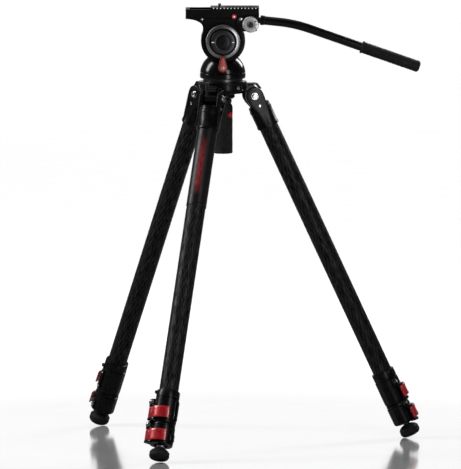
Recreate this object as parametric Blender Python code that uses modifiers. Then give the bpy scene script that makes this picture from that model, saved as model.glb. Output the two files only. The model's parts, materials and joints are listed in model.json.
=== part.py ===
"""Video tripod with a fluid head: three-section legs, 75 mm bowl, sliding plate and pan handle.

Metres, +Z up.  The lens looks along -X, the pan handle points along +X, and the origin is the
middle of the footprint on the floor.  Each object is one physical piece.
"""
import math

import bmesh
import bpy
from mathutils import Vector

GAP = 0.0003  # clearance between pieces that touch

# Where the tripod's own axis stands
AXIS_X = -0.0590
AXIS_Y = 0.0295

# Legs: azimuths run from -Y towards +X
LEG_AZIMUTHS = {"front": -19.3, "right": 100.7, "left": -139.3}
LEG_SPLAY = math.radians(25.0)
PIVOT_RADIUS = 0.0575
PIVOT_HEIGHT = 0.654
TUBE_OFFSET = 0.0023  # the tubes run this far outside the line through the pivot
TUBE_WALL = 0.0015
UPPER_TUBE_R = 0.018
MIDDLE_TUBE_R = 0.01575
LOWER_TUBE_R = 0.0135
TUBE_TOP = 0.0272  # distances down the leg from its pivot
SLEEVE_TOP = 0.0187
SLEEVE_BOTTOM = 0.0652
SLEEVE_R = 0.0215
MIDDLE_TUBE_LENGTH = 0.530
LOWER_TUBE_LENGTH = 0.526
EAR_R = 0.017
EAR_INNER = 0.0143
EAR_OUTER = 0.0213
PIVOT_PIN_R = 0.004

# Leg locks, measured up the leg from the middle of the foot
UPPER_LOCK_TOP = 0.1225
UPPER_LOCK_BOTTOM = 0.058
UPPER_LEVER_AT = 0.0755
LOWER_LOCK_TOP = 0.057
LOWER_LOCK_BOTTOM = 0.0165
LOWER_LEVER_AT = 0.031
LOCK_R = 0.0225
UPPER_SOCKET_DEPTH = 0.034
LOWER_SOCKET_DEPTH = 0.022
LEVER_HEIGHT = 0.022
LEVER_INNER_R = 0.0262
LEVER_OUTER_R = 0.0290
LEVER_FREE_ANGLE = math.radians(34.0)
LEVER_PIN_ANGLE = math.radians(-52.0)
LEVER_PIN_RADIUS = 0.0290
KNUCKLE_R = 0.004

# Feet
FOOT_R = 0.0195
FOOT_THICKNESS = 0.023
FOOT_EDGE = 0.008
FOOT_PLUG_R = 0.0117
FOOT_PLUG_TOP = 0.032
STEM_R = 0.005
STEM_TOP = 0.0185

# Spider, bowl and bowl clamp, about the centre of the half ball
BALL_Z = 0.683
BALL_R = 0.0369
SEAT_R = 0.0375
BALL_BOTTOM = 0.669
BOWL_OUTER_R = 0.045
ARM_WIDTH = 0.036
LUG_HALF = 0.0138
LUG_R = 0.0135
LATCH_HINGE_R = 0.0475
LATCH_HINGE_Z = 0.6763
LATCH_HALF = 0.0014
SADDLE_R = 0.0344  # underside of the bowl
DISH_TOP_R = SADDLE_R + GAP
DISH_BOTTOM_R = 0.0387
GRIP_TOP_R = DISH_BOTTOM_R + GAP
DISH_RIM = 0.0225
SADDLE_RIM = 0.0265
SADDLE_HOLE = 0.013
DISH_HOLE = 0.012
STUD_R = 0.005
NECK_R = 0.0164
GRIP_R = 0.0186
GRIP_BOTTOM = 0.546
GRIP_LOCK_Z = 0.6195
GRIP_LOCK_AZIMUTH = math.radians(45.0)

# Pan base
BASE_R = 0.043
FLANGE_TOP = 0.688
PAN_SPLIT = 0.698
DOME_Z = 0.695
SPINDLE_R = 0.012
PAN_LOCK_Z = 0.711

# Tilt body
TILT_X = 0.0005
TILT_Z = 0.759
TILT_DISC_R = 0.0415
TILT_HALF_WIDTH = 0.0225
RECESS_R = 0.0422
PILLAR_HALF = 0.011
PILLAR_R = 0.030
AXLE_R = 0.007
DRAG_RING_R = 0.0322
DRAG_CAP_R = 0.0227

# Platform and camera plate
PLATFORM_X = (-0.0698, 0.0682)
PLATFORM_HALF = 0.025
PLATFORM_BOTTOM = 0.8028
PLATFORM_TOP = 0.819
CHANNEL_START = -0.062
PLATE_X = (-0.023, 0.0682)
PLATE_HALF = 0.023
PLATE_TOP = 0.8225
CAMERA_SCREW_X = -0.0058
CAMERA_SCREW_R = 0.0031
CAMERA_SCREW_TOP = 0.8285
BUTTON_X = 0.0217
BUTTON_Z = 0.8061
LOCK_KNOB_X = 0.010
LOCK_KNOB_Z = 0.8095

# Pan handle
ROSETTE_X = 0.0523
ROSETTE_Z = 0.7919
ROSETTE_R = 0.0154
ROSETTE_HOLE = 0.0033
HANDLE_Y = -0.0365
HANDLE_R = 0.0082
HANDLE_START = Vector((0.0730, 0.8003))
HANDLE_BEND = Vector((0.1345, 0.7940))
GRIP_END = Vector((0.3695, 0.7118))
HAND_GRIP_LENGTH = 0.116
HANDLE_RUN = (GRIP_END - HANDLE_BEND).normalized()
HAND_GRIP_R = 0.0110

FINE = 28  # sides of round pieces
MEDIUM = 20
COARSE = 12

LOOKS = {
    "black_paint": ((0.012, 0.012, 0.013), 0.42, 0.6),
    "black_plastic": ((0.014, 0.014, 0.015), 0.5, 0.0),
    "carbon": ((0.03, 0.03, 0.032), 0.35, 0.0),
    "rubber": ((0.01, 0.01, 0.01), 0.8, 0.0),
    "red": ((0.5, 0.02, 0.02), 0.35, 0.0),
    "steel": ((0.6, 0.6, 0.6), 0.3, 1.0),
    "grey_metal": ((0.25, 0.25, 0.26), 0.35, 0.9),
}


def clear_scene():
    for item in list(bpy.data.objects):
        bpy.data.objects.remove(item, do_unlink=True)


def new_collection(name):
    collection = bpy.data.collections.new(name)
    bpy.context.scene.collection.children.link(collection)
    return collection


clear_scene()
PARTS = new_collection("fluid_head_tripod")
CUTTERS = new_collection("cutters")


def make_material(name, look):
    colour, roughness, metallic = LOOKS[look]
    material = bpy.data.materials.new(name)
    material.use_nodes = True
    shader = material.node_tree.nodes["Principled BSDF"]
    shader.inputs["Base Color"].default_value = (*colour, 1.0)
    shader.inputs["Roughness"].default_value = roughness
    shader.inputs["Metallic"].default_value = metallic
    return material


def new_empty(name, parent=None, location=(0, 0, 0), rotation=(0, 0, 0)):
    empty = bpy.data.objects.new(name, None)
    CUTTERS.objects.link(empty)
    place(empty, parent, location, rotation)
    return empty


def place(item, parent, location=(0, 0, 0), rotation=(0, 0, 0)):
    item.parent = parent
    item.location = location
    item.rotation_euler = rotation


def as_node(item, name, look):
    """Makes an object one of the tripod's pieces."""
    item.name = name
    item.data.name = name
    item.data.materials.append(make_material(name, look))
    PARTS.objects.link(item)
    return item


def as_tool(item):
    """Makes an object one that only cuts or joins others."""
    CUTTERS.objects.link(item)
    item.hide_render = True
    item.display_type = "WIRE"
    return item


def combine(item, tool, operation):
    modifier = item.modifiers.new(operation.lower(), "BOOLEAN")
    modifier.operation = operation
    modifier.object = as_tool(tool)


def cut(item, tool):
    combine(item, tool, "DIFFERENCE")


def join(item, tool):
    combine(item, tool, "UNION")


def mesh_object(fill):
    """A new object whose mesh a bmesh function fills."""
    mesh = bpy.data.meshes.new("piece")
    work = bmesh.new()
    fill(work)
    work.to_mesh(mesh)
    work.free()
    return bpy.data.objects.new("piece", mesh)


def box(low, high, bevel=0.0):
    """A box between two corners, with its edges rounded."""
    size = Vector(high) - Vector(low)
    middle = (Vector(high) + Vector(low)) / 2

    def fill(work):
        bmesh.ops.create_cube(work, size=1.0)
        bmesh.ops.scale(work, vec=size, verts=work.verts)
        bmesh.ops.translate(work, vec=middle, verts=work.verts)

    item = mesh_object(fill)
    if bevel:
        edges = item.modifiers.new("edges", "BEVEL")
        edges.width = bevel
        edges.segments = 2
    return item


def rod(radius, low, high, segments=COARSE):
    """A cylinder along its own Z between two heights."""

    def fill(work):
        bmesh.ops.create_cone(
            work, cap_ends=True, segments=segments, radius1=radius, radius2=radius, depth=high - low
        )
        bmesh.ops.translate(work, vec=(0, 0, (high + low) / 2), verts=work.verts)

    item = mesh_object(fill)
    item.data.shade_smooth()
    return item


def turned(profile, steps=MEDIUM):
    """A solid of revolution.  The profile runs down the outer side; off the axis it is a closed ring."""

    def fill(work):
        points = [work.verts.new((r, 0.0, z)) for r, z in profile]
        for first, second in zip(points, points[1:]):
            work.edges.new((first, second))
        if profile[0][0] > 0:
            work.edges.new((points[-1], points[0]))

    item = mesh_object(fill)
    screw = item.modifiers.new("turn", "SCREW")
    screw.steps = steps
    screw.render_steps = steps
    screw.use_merge_vertices = True
    screw.merge_threshold = 0.00001
    return item


def arc(centre, radius, start, end, steps):
    """Points of an arc in a plane, between two angles in degrees."""
    points = []
    for step in range(steps + 1):
        angle = math.radians(start + (end - start) * step / steps)
        points.append((centre[0] + radius * math.cos(angle), centre[1] + radius * math.sin(angle)))
    return points


def bowl_arc(radius, r_start, r_end, steps=4):
    """Profile points on a sphere's lower half about the ball centre."""
    start = math.asin(r_start / radius)
    end = math.asin(r_end / radius)
    points = []
    for step in range(steps + 1):
        angle = start + (end - start) * step / steps
        points.append((radius * math.sin(angle), BALL_Z - radius * math.cos(angle)))
    return points


def plate(points, low, high):
    """A flat outline in its own XY plane, given thickness between two heights."""
    curve = bpy.data.curves.new("outline", "CURVE")
    curve.dimensions = "2D"
    curve.fill_mode = "BOTH"
    curve.extrude = (high - low) / 2
    spline = curve.splines.new("POLY")
    spline.points.add(len(points) - 1)
    for point, (x, y) in zip(spline.points, points):
        point.co = (x, y, 0.0, 1.0)
    spline.use_cyclic_u = True
    item = curve_to_mesh(curve)
    for vertex in item.data.vertices:
        vertex.co.z += (high + low) / 2
    return item


def curve_to_mesh(curve):
    """Turns a curve into a closed mesh object and removes the curve."""
    source = bpy.data.objects.new("curve", curve)
    bpy.context.scene.collection.objects.link(source)
    graph = bpy.context.evaluated_depsgraph_get()
    mesh = bpy.data.meshes.new_from_object(source.evaluated_get(graph))
    work = bmesh.new()
    work.from_mesh(mesh)
    bmesh.ops.remove_doubles(work, verts=work.verts, dist=0.00001)
    bmesh.ops.recalc_face_normals(work, faces=work.faces)
    work.to_mesh(mesh)
    work.free()
    item = bpy.data.objects.new("piece", mesh)
    item.matrix_world = source.matrix_world
    bpy.data.objects.remove(source)
    return item


def rounded_rectangle(x_low, x_high, y_low, y_high, radius, steps=3):
    points = arc((x_high - radius, y_high - radius), radius, 0, 90, steps)
    points += arc((x_low + radius, y_high - radius), radius, 90, 180, steps)
    points += arc((x_low + radius, y_low + radius), radius, 180, 270, steps)
    points += arc((x_high - radius, y_low + radius), radius, 270, 360, steps)
    return points


TO_NEAR = (math.radians(90), 0, 0)  # turns a piece's own Z towards -Y
TO_FAR = (math.radians(-90), 0, 0)  # turns a piece's own Z towards +Y


# ---- legs ----


def foot_profile():
    """Half section of a foot about its own middle, with its stem and the plug in the lower tube."""
    half = FOOT_THICKNESS / 2
    inner = FOOT_R - FOOT_EDGE
    level = half - FOOT_EDGE
    points = [(0.0, FOOT_PLUG_TOP), (FOOT_PLUG_R, FOOT_PLUG_TOP), (FOOT_PLUG_R, STEM_TOP + GAP)]
    points += [(STEM_R, STEM_TOP + GAP), (STEM_R, half)]
    points += arc((inner, level), FOOT_EDGE, 90, 0, 3)
    points += arc((inner, -level), FOOT_EDGE, 0, -90, 4)
    points.append((0.0, -half))
    return points


def foot_drop():
    """How far the foot's lowest point lies below its middle when the leg stands at its splay."""
    return max(
        r * math.sin(LEG_SPLAY) - z * math.cos(LEG_SPLAY) for r, z in foot_profile()
    )


FOOT_S = (PIVOT_HEIGHT + TUBE_OFFSET * math.sin(LEG_SPLAY) - foot_drop()) / math.cos(LEG_SPLAY)


def along(up_from_foot):
    """Leg height, in the leg's own frame, of a point measured up from the middle of the foot."""
    return up_from_foot - FOOT_S


def ring(outer, inner, low, high, steps=MEDIUM):
    return turned([(inner, high), (outer, high), (outer, low), (inner, low)], steps)


def make_yoke(name, leg):
    """The casting that holds the upper tube and hangs on the spider by two ears."""
    yoke = turned(
        [
            (0.0, -SLEEVE_TOP),
            (0.015, -SLEEVE_TOP),
            (SLEEVE_R, -SLEEVE_TOP - 0.0065),
            (SLEEVE_R, -SLEEVE_BOTTOM),
            (0.0, -SLEEVE_BOTTOM),
        ]
    )
    place(yoke, leg, (TUBE_OFFSET, 0, 0))
    outline = arc((0, 0), EAR_R, 180, 0, 8)
    outline += [(0.0165, -0.040), (-0.0125, -0.040)]
    for side in (-1, 1):
        low, high = sorted((side * EAR_INNER, side * EAR_OUTER))
        ear = plate(outline, low, high)
        place(ear, leg, rotation=TO_NEAR)
        join(yoke, ear)
    socket = rod(UPPER_TUBE_R + GAP, -SLEEVE_BOTTOM - 0.01, -TUBE_TOP + GAP, MEDIUM)
    place(socket, leg, (TUBE_OFFSET, 0, 0))
    cut(yoke, socket)
    hole = rod(PIVOT_PIN_R + GAP, -0.03, 0.03)
    place(hole, leg, rotation=TO_NEAR)
    cut(yoke, hole)
    return as_node(yoke, name, "black_paint")


def make_pivot_bolt(name, leg):
    head = EAR_OUTER + GAP
    end = head + 0.003
    head_r = 0.0065
    bolt = turned(
        [
            (0.0, end),
            (head_r, end),
            (head_r, head),
            (PIVOT_PIN_R, head),
            (PIVOT_PIN_R, -head),
            (head_r, -head),
            (head_r, -end),
            (0.0, -end),
        ],
        COARSE,
    )
    place(bolt, leg, rotation=TO_NEAR)
    return as_node(bolt, name, "steel")


def make_angle_latch(name, arm):
    """The flip tab on the end of an arm that sets how far its leg opens."""
    outline = [(0.0648, 0.6777), (0.0475, 0.6777)]
    outline += arc((LATCH_HINGE_R, LATCH_HINGE_Z), LATCH_HALF, 120, 240, 3)
    outline += [(0.0475, 0.6749), (0.0628, 0.6749), (0.0697, 0.6667), (0.0720, 0.6685)]
    latch = plate(outline, -0.011, 0.011)
    place(latch, arm, rotation=TO_NEAR)
    return as_node(latch, name, "black_paint")


def make_lock(name, leg, top, bottom, socket_r, socket_depth, bore_r, lever_at):
    """A clamp collar with lugs for its lever's pin and a rib on the other side."""
    shoulder = top - socket_depth
    lock = turned(
        [
            (socket_r, along(top)),
            (LOCK_R - 0.0012, along(top)),
            (LOCK_R, along(top - 0.0012)),
            (LOCK_R, along(bottom + 0.0015)),
            (LOCK_R - 0.0015, along(bottom)),
            (bore_r, along(bottom)),
            (bore_r, along(shoulder)),
            (socket_r, along(shoulder)),
        ]
    )
    place(lock, leg, (TUBE_OFFSET, 0, 0))
    reach = LEVER_HEIGHT / 2 + 0.0005
    for low in (reach, -reach - 0.0045):
        lug = box((0.019, -0.0045, 0.0), (0.0335, 0.0045, 0.0045))
        height = along(lever_at) + low
        place(lug, leg, (TUBE_OFFSET, 0, height), (0, 0, LEVER_PIN_ANGLE))
        join(lock, lug)
    rib = box((-0.0035, 0.019, along(bottom + 0.006)), (0.0035, 0.0258, along(top - 0.02)))
    place(rib, leg, (TUBE_OFFSET + 0.004, 0, 0))
    join(lock, rib)
    return as_node(lock, name, "black_paint")


def make_lock_lever(name, leg, lever_at):
    """A curved lever that wraps the outer side of its lock, with its origin on its pin."""
    pin = (
        LEVER_PIN_RADIUS * math.cos(LEVER_PIN_ANGLE),
        LEVER_PIN_RADIUS * math.sin(LEVER_PIN_ANGLE),
    )
    free = math.degrees(LEVER_FREE_ANGLE)
    hinge = math.degrees(LEVER_PIN_ANGLE)
    outline = arc((0, 0), LEVER_OUTER_R, hinge + 7, free, 7)
    outline += arc((0, 0), LEVER_INNER_R, free, hinge + 7, 7)
    outline += arc(pin, KNUCKLE_R, hinge + 135, hinge + 360, 7)
    centred = [(x - pin[0], y - pin[1]) for x, y in outline]
    lever = plate(centred, -LEVER_HEIGHT / 2, LEVER_HEIGHT / 2)
    place(lever, leg, (pin[0] + TUBE_OFFSET, pin[1], along(lever_at)))
    return as_node(lever, name, "red")


def make_foot(name, leg):
    foot = turned(foot_profile())
    place(foot, leg, (TUBE_OFFSET, 0, along(0.0)))
    return as_node(foot, name, "rubber")


def make_tube(name, leg, radius, low, high):
    tube = ring(radius, radius - TUBE_WALL, low, high)
    place(tube, leg, (TUBE_OFFSET, 0, 0))
    return as_node(tube, name, "carbon")


def make_leg(label, azimuth, axis):
    arm = new_empty(label + "_arm", axis, rotation=(0, 0, math.radians(azimuth - 90)))
    leg = new_empty(
        label + "_leg", arm, (PIVOT_RADIUS, 0, PIVOT_HEIGHT), (0, -LEG_SPLAY, 0)
    )
    make_yoke(label + "_leg_yoke", leg)
    make_pivot_bolt(label + "_pivot_bolt", leg)
    make_angle_latch(label + "_angle_latch", arm)

    upper_end = along(UPPER_LOCK_TOP - UPPER_SOCKET_DEPTH) + GAP
    make_tube(label + "_upper_tube", leg, UPPER_TUBE_R, upper_end, -TUBE_TOP)
    make_lock(
        label + "_upper_lock",
        leg,
        UPPER_LOCK_TOP,
        UPPER_LOCK_BOTTOM,
        UPPER_TUBE_R + GAP,
        UPPER_SOCKET_DEPTH,
        MIDDLE_TUBE_R + GAP,
        UPPER_LEVER_AT,
    )
    make_lock_lever(label + "_upper_lever", leg, UPPER_LEVER_AT)

    middle_end = along(LOWER_LOCK_TOP - LOWER_SOCKET_DEPTH) + GAP
    make_tube(
        label + "_middle_tube", leg, MIDDLE_TUBE_R, middle_end, middle_end + MIDDLE_TUBE_LENGTH
    )
    make_lock(
        label + "_lower_lock",
        leg,
        LOWER_LOCK_TOP,
        LOWER_LOCK_BOTTOM,
        MIDDLE_TUBE_R + GAP,
        LOWER_SOCKET_DEPTH,
        LOWER_TUBE_R + GAP,
        LOWER_LEVER_AT,
    )
    make_lock_lever(label + "_lower_lever", leg, LOWER_LEVER_AT)

    lower_end = along(STEM_TOP)
    make_tube(label + "_lower_tube", leg, LOWER_TUBE_R, lower_end, lower_end + LOWER_TUBE_LENGTH)
    make_foot(label + "_foot", leg)


# ---- spider and bowl clamp ----


def make_spider(axis):
    """The casting with the bowl, and an arm with a hinge lug for each leg."""
    top = BALL_Z - 0.0006
    web_top = 0.6635
    seat_bottom = math.sqrt(SEAT_R * SEAT_R - (BALL_Z - web_top) ** 2)
    profile = [(SEAT_R, top), (BOWL_OUTER_R - 0.001, top), (BOWL_OUTER_R, top - 0.001)]
    profile += [(BOWL_OUTER_R, 0.664), (0.041, 0.6605), (0.0275, 0.6605)]
    profile += bowl_arc(SADDLE_R, SADDLE_RIM, SADDLE_HOLE)
    profile += [(SADDLE_HOLE, web_top), (seat_bottom, web_top)]
    profile += bowl_arc(SEAT_R, seat_bottom, SEAT_R - 0.0001, 6)[1:]
    spider = turned(profile, FINE)
    place(spider, axis)
    half = ARM_WIDTH / 2
    arm_top = 0.6745
    for label, azimuth in LEG_AZIMUTHS.items():
        frame = new_empty(label + "_lug", axis, rotation=(0, 0, math.radians(azimuth - 90)))
        arm = box((0.040, -half, 0.6625), (0.0585, half, arm_top))
        place(arm, frame)
        join(spider, arm)
        pivot = (PIVOT_RADIUS, 0, PIVOT_HEIGHT)
        clearance = EAR_R + 0.0006
        for side in (-1, 1):
            low, high = sorted((side * (LUG_HALF + 0.0002), side * 0.027))
            relief = rod(clearance, low, high, FINE)
            place(relief, frame, pivot, TO_NEAR)
            cut(spider, relief)
        lug = plate(
            arc((0, 0), LUG_R, -180, 0, 8)
            + [(LUG_R, 0.0045), (0.0004, 0.0187), (-LUG_R, 0.0187)],
            -LUG_HALF,
            LUG_HALF,
        )
        place(lug, frame, pivot, TO_NEAR)
        join(spider, lug)
        hole = rod(PIVOT_PIN_R + GAP, -0.03, 0.03)
        place(hole, frame, pivot, TO_NEAR)
        cut(spider, hole)
    return as_node(spider, "spider", "black_paint")


def make_half_ball(axis):
    start = math.sqrt(BALL_R * BALL_R - (BALL_Z - BALL_BOTTOM) ** 2)
    profile = [(0.0, FLANGE_TOP - GAP), (BALL_R, FLANGE_TOP - GAP), (BALL_R, BALL_Z)]
    profile += bowl_arc(BALL_R, BALL_R - 0.0001, start)[1:]
    profile += [(STUD_R + GAP, BALL_BOTTOM), (STUD_R + GAP, 0.6793), (0.0, 0.6793)]
    ball = turned(profile, FINE)
    place(ball, axis)
    return as_node(ball, "half_ball", "grey_metal")


def make_clamp(axis):
    """The threaded stud, the dish that grips the bowl from below, and the grip that tightens it."""
    stud = rod(STUD_R, 0.600, 0.679)
    place(stud, axis)
    as_node(stud, "clamp_stud", "steel")

    profile = bowl_arc(DISH_TOP_R, DISH_HOLE, DISH_RIM)
    profile += bowl_arc(DISH_BOTTOM_R, DISH_RIM, DISH_HOLE)
    dish = turned(profile)
    place(dish, axis)
    as_node(dish, "clamp_dish", "black_paint")

    hole = STUD_R + GAP
    profile = [(0.0, 0.5997), (hole, 0.5997)]
    profile += bowl_arc(GRIP_TOP_R, hole, NECK_R, 4)
    profile += [(NECK_R, 0.637), (GRIP_R, 0.6345), (GRIP_R, GRIP_BOTTOM + 0.002)]
    profile += [(GRIP_R - 0.002, GRIP_BOTTOM), (0.0, GRIP_BOTTOM)]
    grip = turned(profile)
    place(grip, axis)
    lock_frame = new_empty("grip_lock_place", axis, (0, 0, GRIP_LOCK_Z), (0, 0, GRIP_LOCK_AZIMUTH))
    recess = rod(0.0053, 0.0125, 0.03)
    place(recess, lock_frame, rotation=TO_NEAR)
    cut(grip, recess)
    as_node(grip, "bowl_grip", "rubber")

    lock = rod(0.0050, 0.0150, 0.0235, COARSE)
    place(lock, lock_frame, rotation=TO_NEAR)
    as_node(lock, "grip_lock", "red")


# ---- pan base ----


def make_base_ring(axis):
    spindle_top = 0.715
    ring_piece = turned(
        [
            (0.0, spindle_top),
            (SPINDLE_R, spindle_top),
            (SPINDLE_R, PAN_SPLIT),
            (BASE_R, PAN_SPLIT),
            (BASE_R, FLANGE_TOP + 0.001),
            (BASE_R - 0.001, FLANGE_TOP),
            (0.0, FLANGE_TOP),
        ],
        FINE,
    )
    place(ring_piece, axis)
    as_node(ring_piece, "base_ring", "black_paint")


def make_pan_base(axis, tilt):
    """The dome that turns on the base, with the pillar that carries the tilt axle."""
    bottom = PAN_SPLIT + 0.0006
    start = math.degrees(math.asin((bottom - DOME_Z) / BASE_R))
    bore = SPINDLE_R + GAP
    profile = arc((0, DOME_Z), BASE_R, 90, start, 8)
    profile[0] = (0.0, DOME_Z + BASE_R)
    profile += [(bore, bottom), (bore, 0.716), (0.0, 0.716)]
    dome = turned(profile, FINE)
    place(dome, axis)

    pillar = rod(PILLAR_R, -PILLAR_HALF, PILLAR_HALF, FINE)
    place(pillar, tilt, rotation=TO_NEAR)
    join(dome, pillar)
    boss_frame = new_empty("pan_lock", axis, (0, 0, PAN_LOCK_Z))
    boss = rod(0.008, 0.030, 0.0442, COARSE)
    place(boss, boss_frame, rotation=TO_NEAR)
    join(dome, boss)
    for side in (-1, 1):
        low, high = sorted((side * (PILLAR_HALF + GAP), side * 0.048))
        recess = rod(RECESS_R, low, high, FINE)
        place(recess, tilt, rotation=TO_NEAR)
        cut(dome, recess)
    hole = rod(AXLE_R + GAP, -0.03, 0.03)
    place(hole, tilt, rotation=TO_NEAR)
    cut(dome, hole)
    screw_hole = rod(0.0023, 0.0395, 0.06, 12)
    place(screw_hole, boss_frame, rotation=TO_NEAR)
    cut(dome, screw_hole)
    as_node(dome, "pan_base", "black_paint")

    lever_bottom = 0.0445
    lever_top = 0.0488
    outline = arc((0, 0), 0.0085, 160, 380, 10) + arc((0, 0.0184), 0.0042, 15, 165, 5)
    lever = plate(outline, lever_bottom, lever_top)
    place(lever, boss_frame, rotation=TO_NEAR)
    hole = rod(0.0023, 0.040, 0.055, 12)
    place(hole, boss_frame, rotation=TO_NEAR)
    cut(lever, hole)
    as_node(lever, "pan_lock_lever", "red")

    head = lever_top + GAP
    screw = turned(
        [(0.0, head + 0.0016), (0.0038, head + 0.0016), (0.0038, head), (0.002, head), (0.002, 0.040)]
        + [(0.0, 0.040)],
        12,
    )
    place(screw, boss_frame, rotation=TO_NEAR)
    as_node(screw, "lever_screw", "steel")


# ---- tilt body ----


def make_tilt_body(tilt):
    """Two cheeks either side of the pillar, joined above it by the neck that flares to the platform."""
    neck_angle = 24.4
    disc = arc((0, 0), TILT_DISC_R, 180 - neck_angle, 360 + neck_angle, 22)
    waist = 0.0378
    shoulder = 0.026
    top = PLATFORM_BOTTOM - GAP - TILT_Z
    right_end = PLATFORM_X[1] - TILT_X
    left_end = PLATFORM_X[0] - TILT_X
    outline = disc + [(waist, 0.0190)]
    for end in (right_end, left_end):
        side = math.copysign(1, end)
        flare = []
        for step in range(6):
            angle = math.radians(90 * step / 5)
            x = end - side * (abs(end) - waist) * math.cos(angle)
            flare.append((x, shoulder + (top - 0.0015 - shoulder) * math.sin(angle)))
        flare.append((end, top))
        outline += flare if side > 0 else flare[::-1]
    outline.append((-waist, 0.0190))
    body = plate(outline, -TILT_HALF_WIDTH, TILT_HALF_WIDTH)
    place(body, tilt, rotation=TO_NEAR)
    slot_half = PILLAR_HALF + 0.0006
    for tool in (
        rod(PILLAR_R + 0.0006, -slot_half, slot_half, FINE),
        box((-0.05, -0.05, -slot_half), (0.05, 0.015, slot_half)),
        rod(AXLE_R + GAP, -0.03, 0.03),
    ):
        place(tool, tilt, rotation=TO_NEAR)
        cut(body, tool)
    as_node(body, "tilt_body", "black_paint")

    axle = rod(AXLE_R, -TILT_HALF_WIDTH + 0.0005, TILT_HALF_WIDTH - 0.0005)
    place(axle, tilt, rotation=TO_NEAR)
    as_node(axle, "tilt_axle", "steel")


def make_drag_control(tilt):
    face = TILT_HALF_WIDTH + GAP
    ring_piece = turned(
        [
            (DRAG_CAP_R + 0.0006, 0.0360),
            (0.0300, 0.0360),
            (DRAG_RING_R, 0.0345),
            (DRAG_RING_R, 0.0255),
            (0.0290, face),
            (DRAG_CAP_R + 0.0006, face),
        ],
        FINE,
    )
    place(ring_piece, tilt, rotation=TO_NEAR)
    as_node(ring_piece, "drag_ring", "grey_metal")

    cap = turned(
        [
            (0.0, 0.0455),
            (0.0140, 0.0455),
            (0.0145, 0.0440),
            (0.0212, 0.0440),
            (DRAG_CAP_R, 0.0425),
            (DRAG_CAP_R, face),
            (0.0, face),
        ],
        FINE,
    )
    place(cap, tilt, rotation=TO_NEAR)
    as_node(cap, "drag_cap", "black_plastic")

    far_cap = turned(
        [(0.0, 0.031), (0.0215, 0.031), (0.0245, 0.028), (0.0245, face), (0.0, face)],
    )
    place(far_cap, tilt, rotation=TO_FAR)
    as_node(far_cap, "side_cap", "black_plastic")


# ---- platform and camera plate ----

ALONG_X = (math.radians(90), 0, math.radians(90))  # own X to +Y, own Y to +Z, own Z to +X


def make_platform(axis):
    floor = PLATFORM_TOP - 0.0036
    platform = box(
        (PLATFORM_X[0], -PLATFORM_HALF, PLATFORM_BOTTOM),
        (PLATFORM_X[1], PLATFORM_HALF, PLATFORM_TOP),
    )
    place(platform, axis)
    channel = plate(
        [
            (-0.0211, floor),
            (0.0211, floor),
            (0.0178, PLATFORM_TOP + 0.002),
            (-0.0178, PLATFORM_TOP + 0.002),
        ],
        CHANNEL_START,
        0.08,
    )
    place(channel, axis, rotation=ALONG_X)
    cut(platform, channel)
    button_hole = rod(0.0024, 0.0200, 0.03)
    place(button_hole, axis, (BUTTON_X, 0, BUTTON_Z), TO_NEAR)
    cut(platform, button_hole)
    knob_hole = rod(0.0029, 0.0200, 0.03)
    place(knob_hole, axis, (LOCK_KNOB_X, 0, LOCK_KNOB_Z), TO_FAR)
    cut(platform, knob_hole)
    as_node(platform, "platform", "black_paint")

    button = turned(
        [
            (0.0, 0.0305),
            (0.0036, 0.0305),
            (0.0045, 0.0295),
            (0.0045, 0.0274),
            (0.0020, 0.0274),
            (0.0020, 0.0224),
            (0.0, 0.0224),
        ],
        COARSE,
    )
    place(button, axis, (BUTTON_X, 0, BUTTON_Z), TO_NEAR)
    as_node(button, "plate_release_button", "red")

    knob = turned(
        [
            (0.0, 0.0380),
            (0.0070, 0.0380),
            (0.0080, 0.0370),
            (0.0080, 0.0265),
            (0.0026, 0.0265),
            (0.0026, 0.0210),
            (0.0, 0.0210),
        ],
        COARSE,
    )
    place(knob, axis, (LOCK_KNOB_X, 0, LOCK_KNOB_Z), TO_FAR)
    wing = plate(rounded_rectangle(-0.004, 0.026, -0.004, 0.004, 0.0035), 0.0315, 0.0365)
    place(wing, axis, (LOCK_KNOB_X, 0, LOCK_KNOB_Z), TO_FAR)
    join(knob, wing)
    as_node(knob, "plate_lock_knob", "black_plastic")


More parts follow.
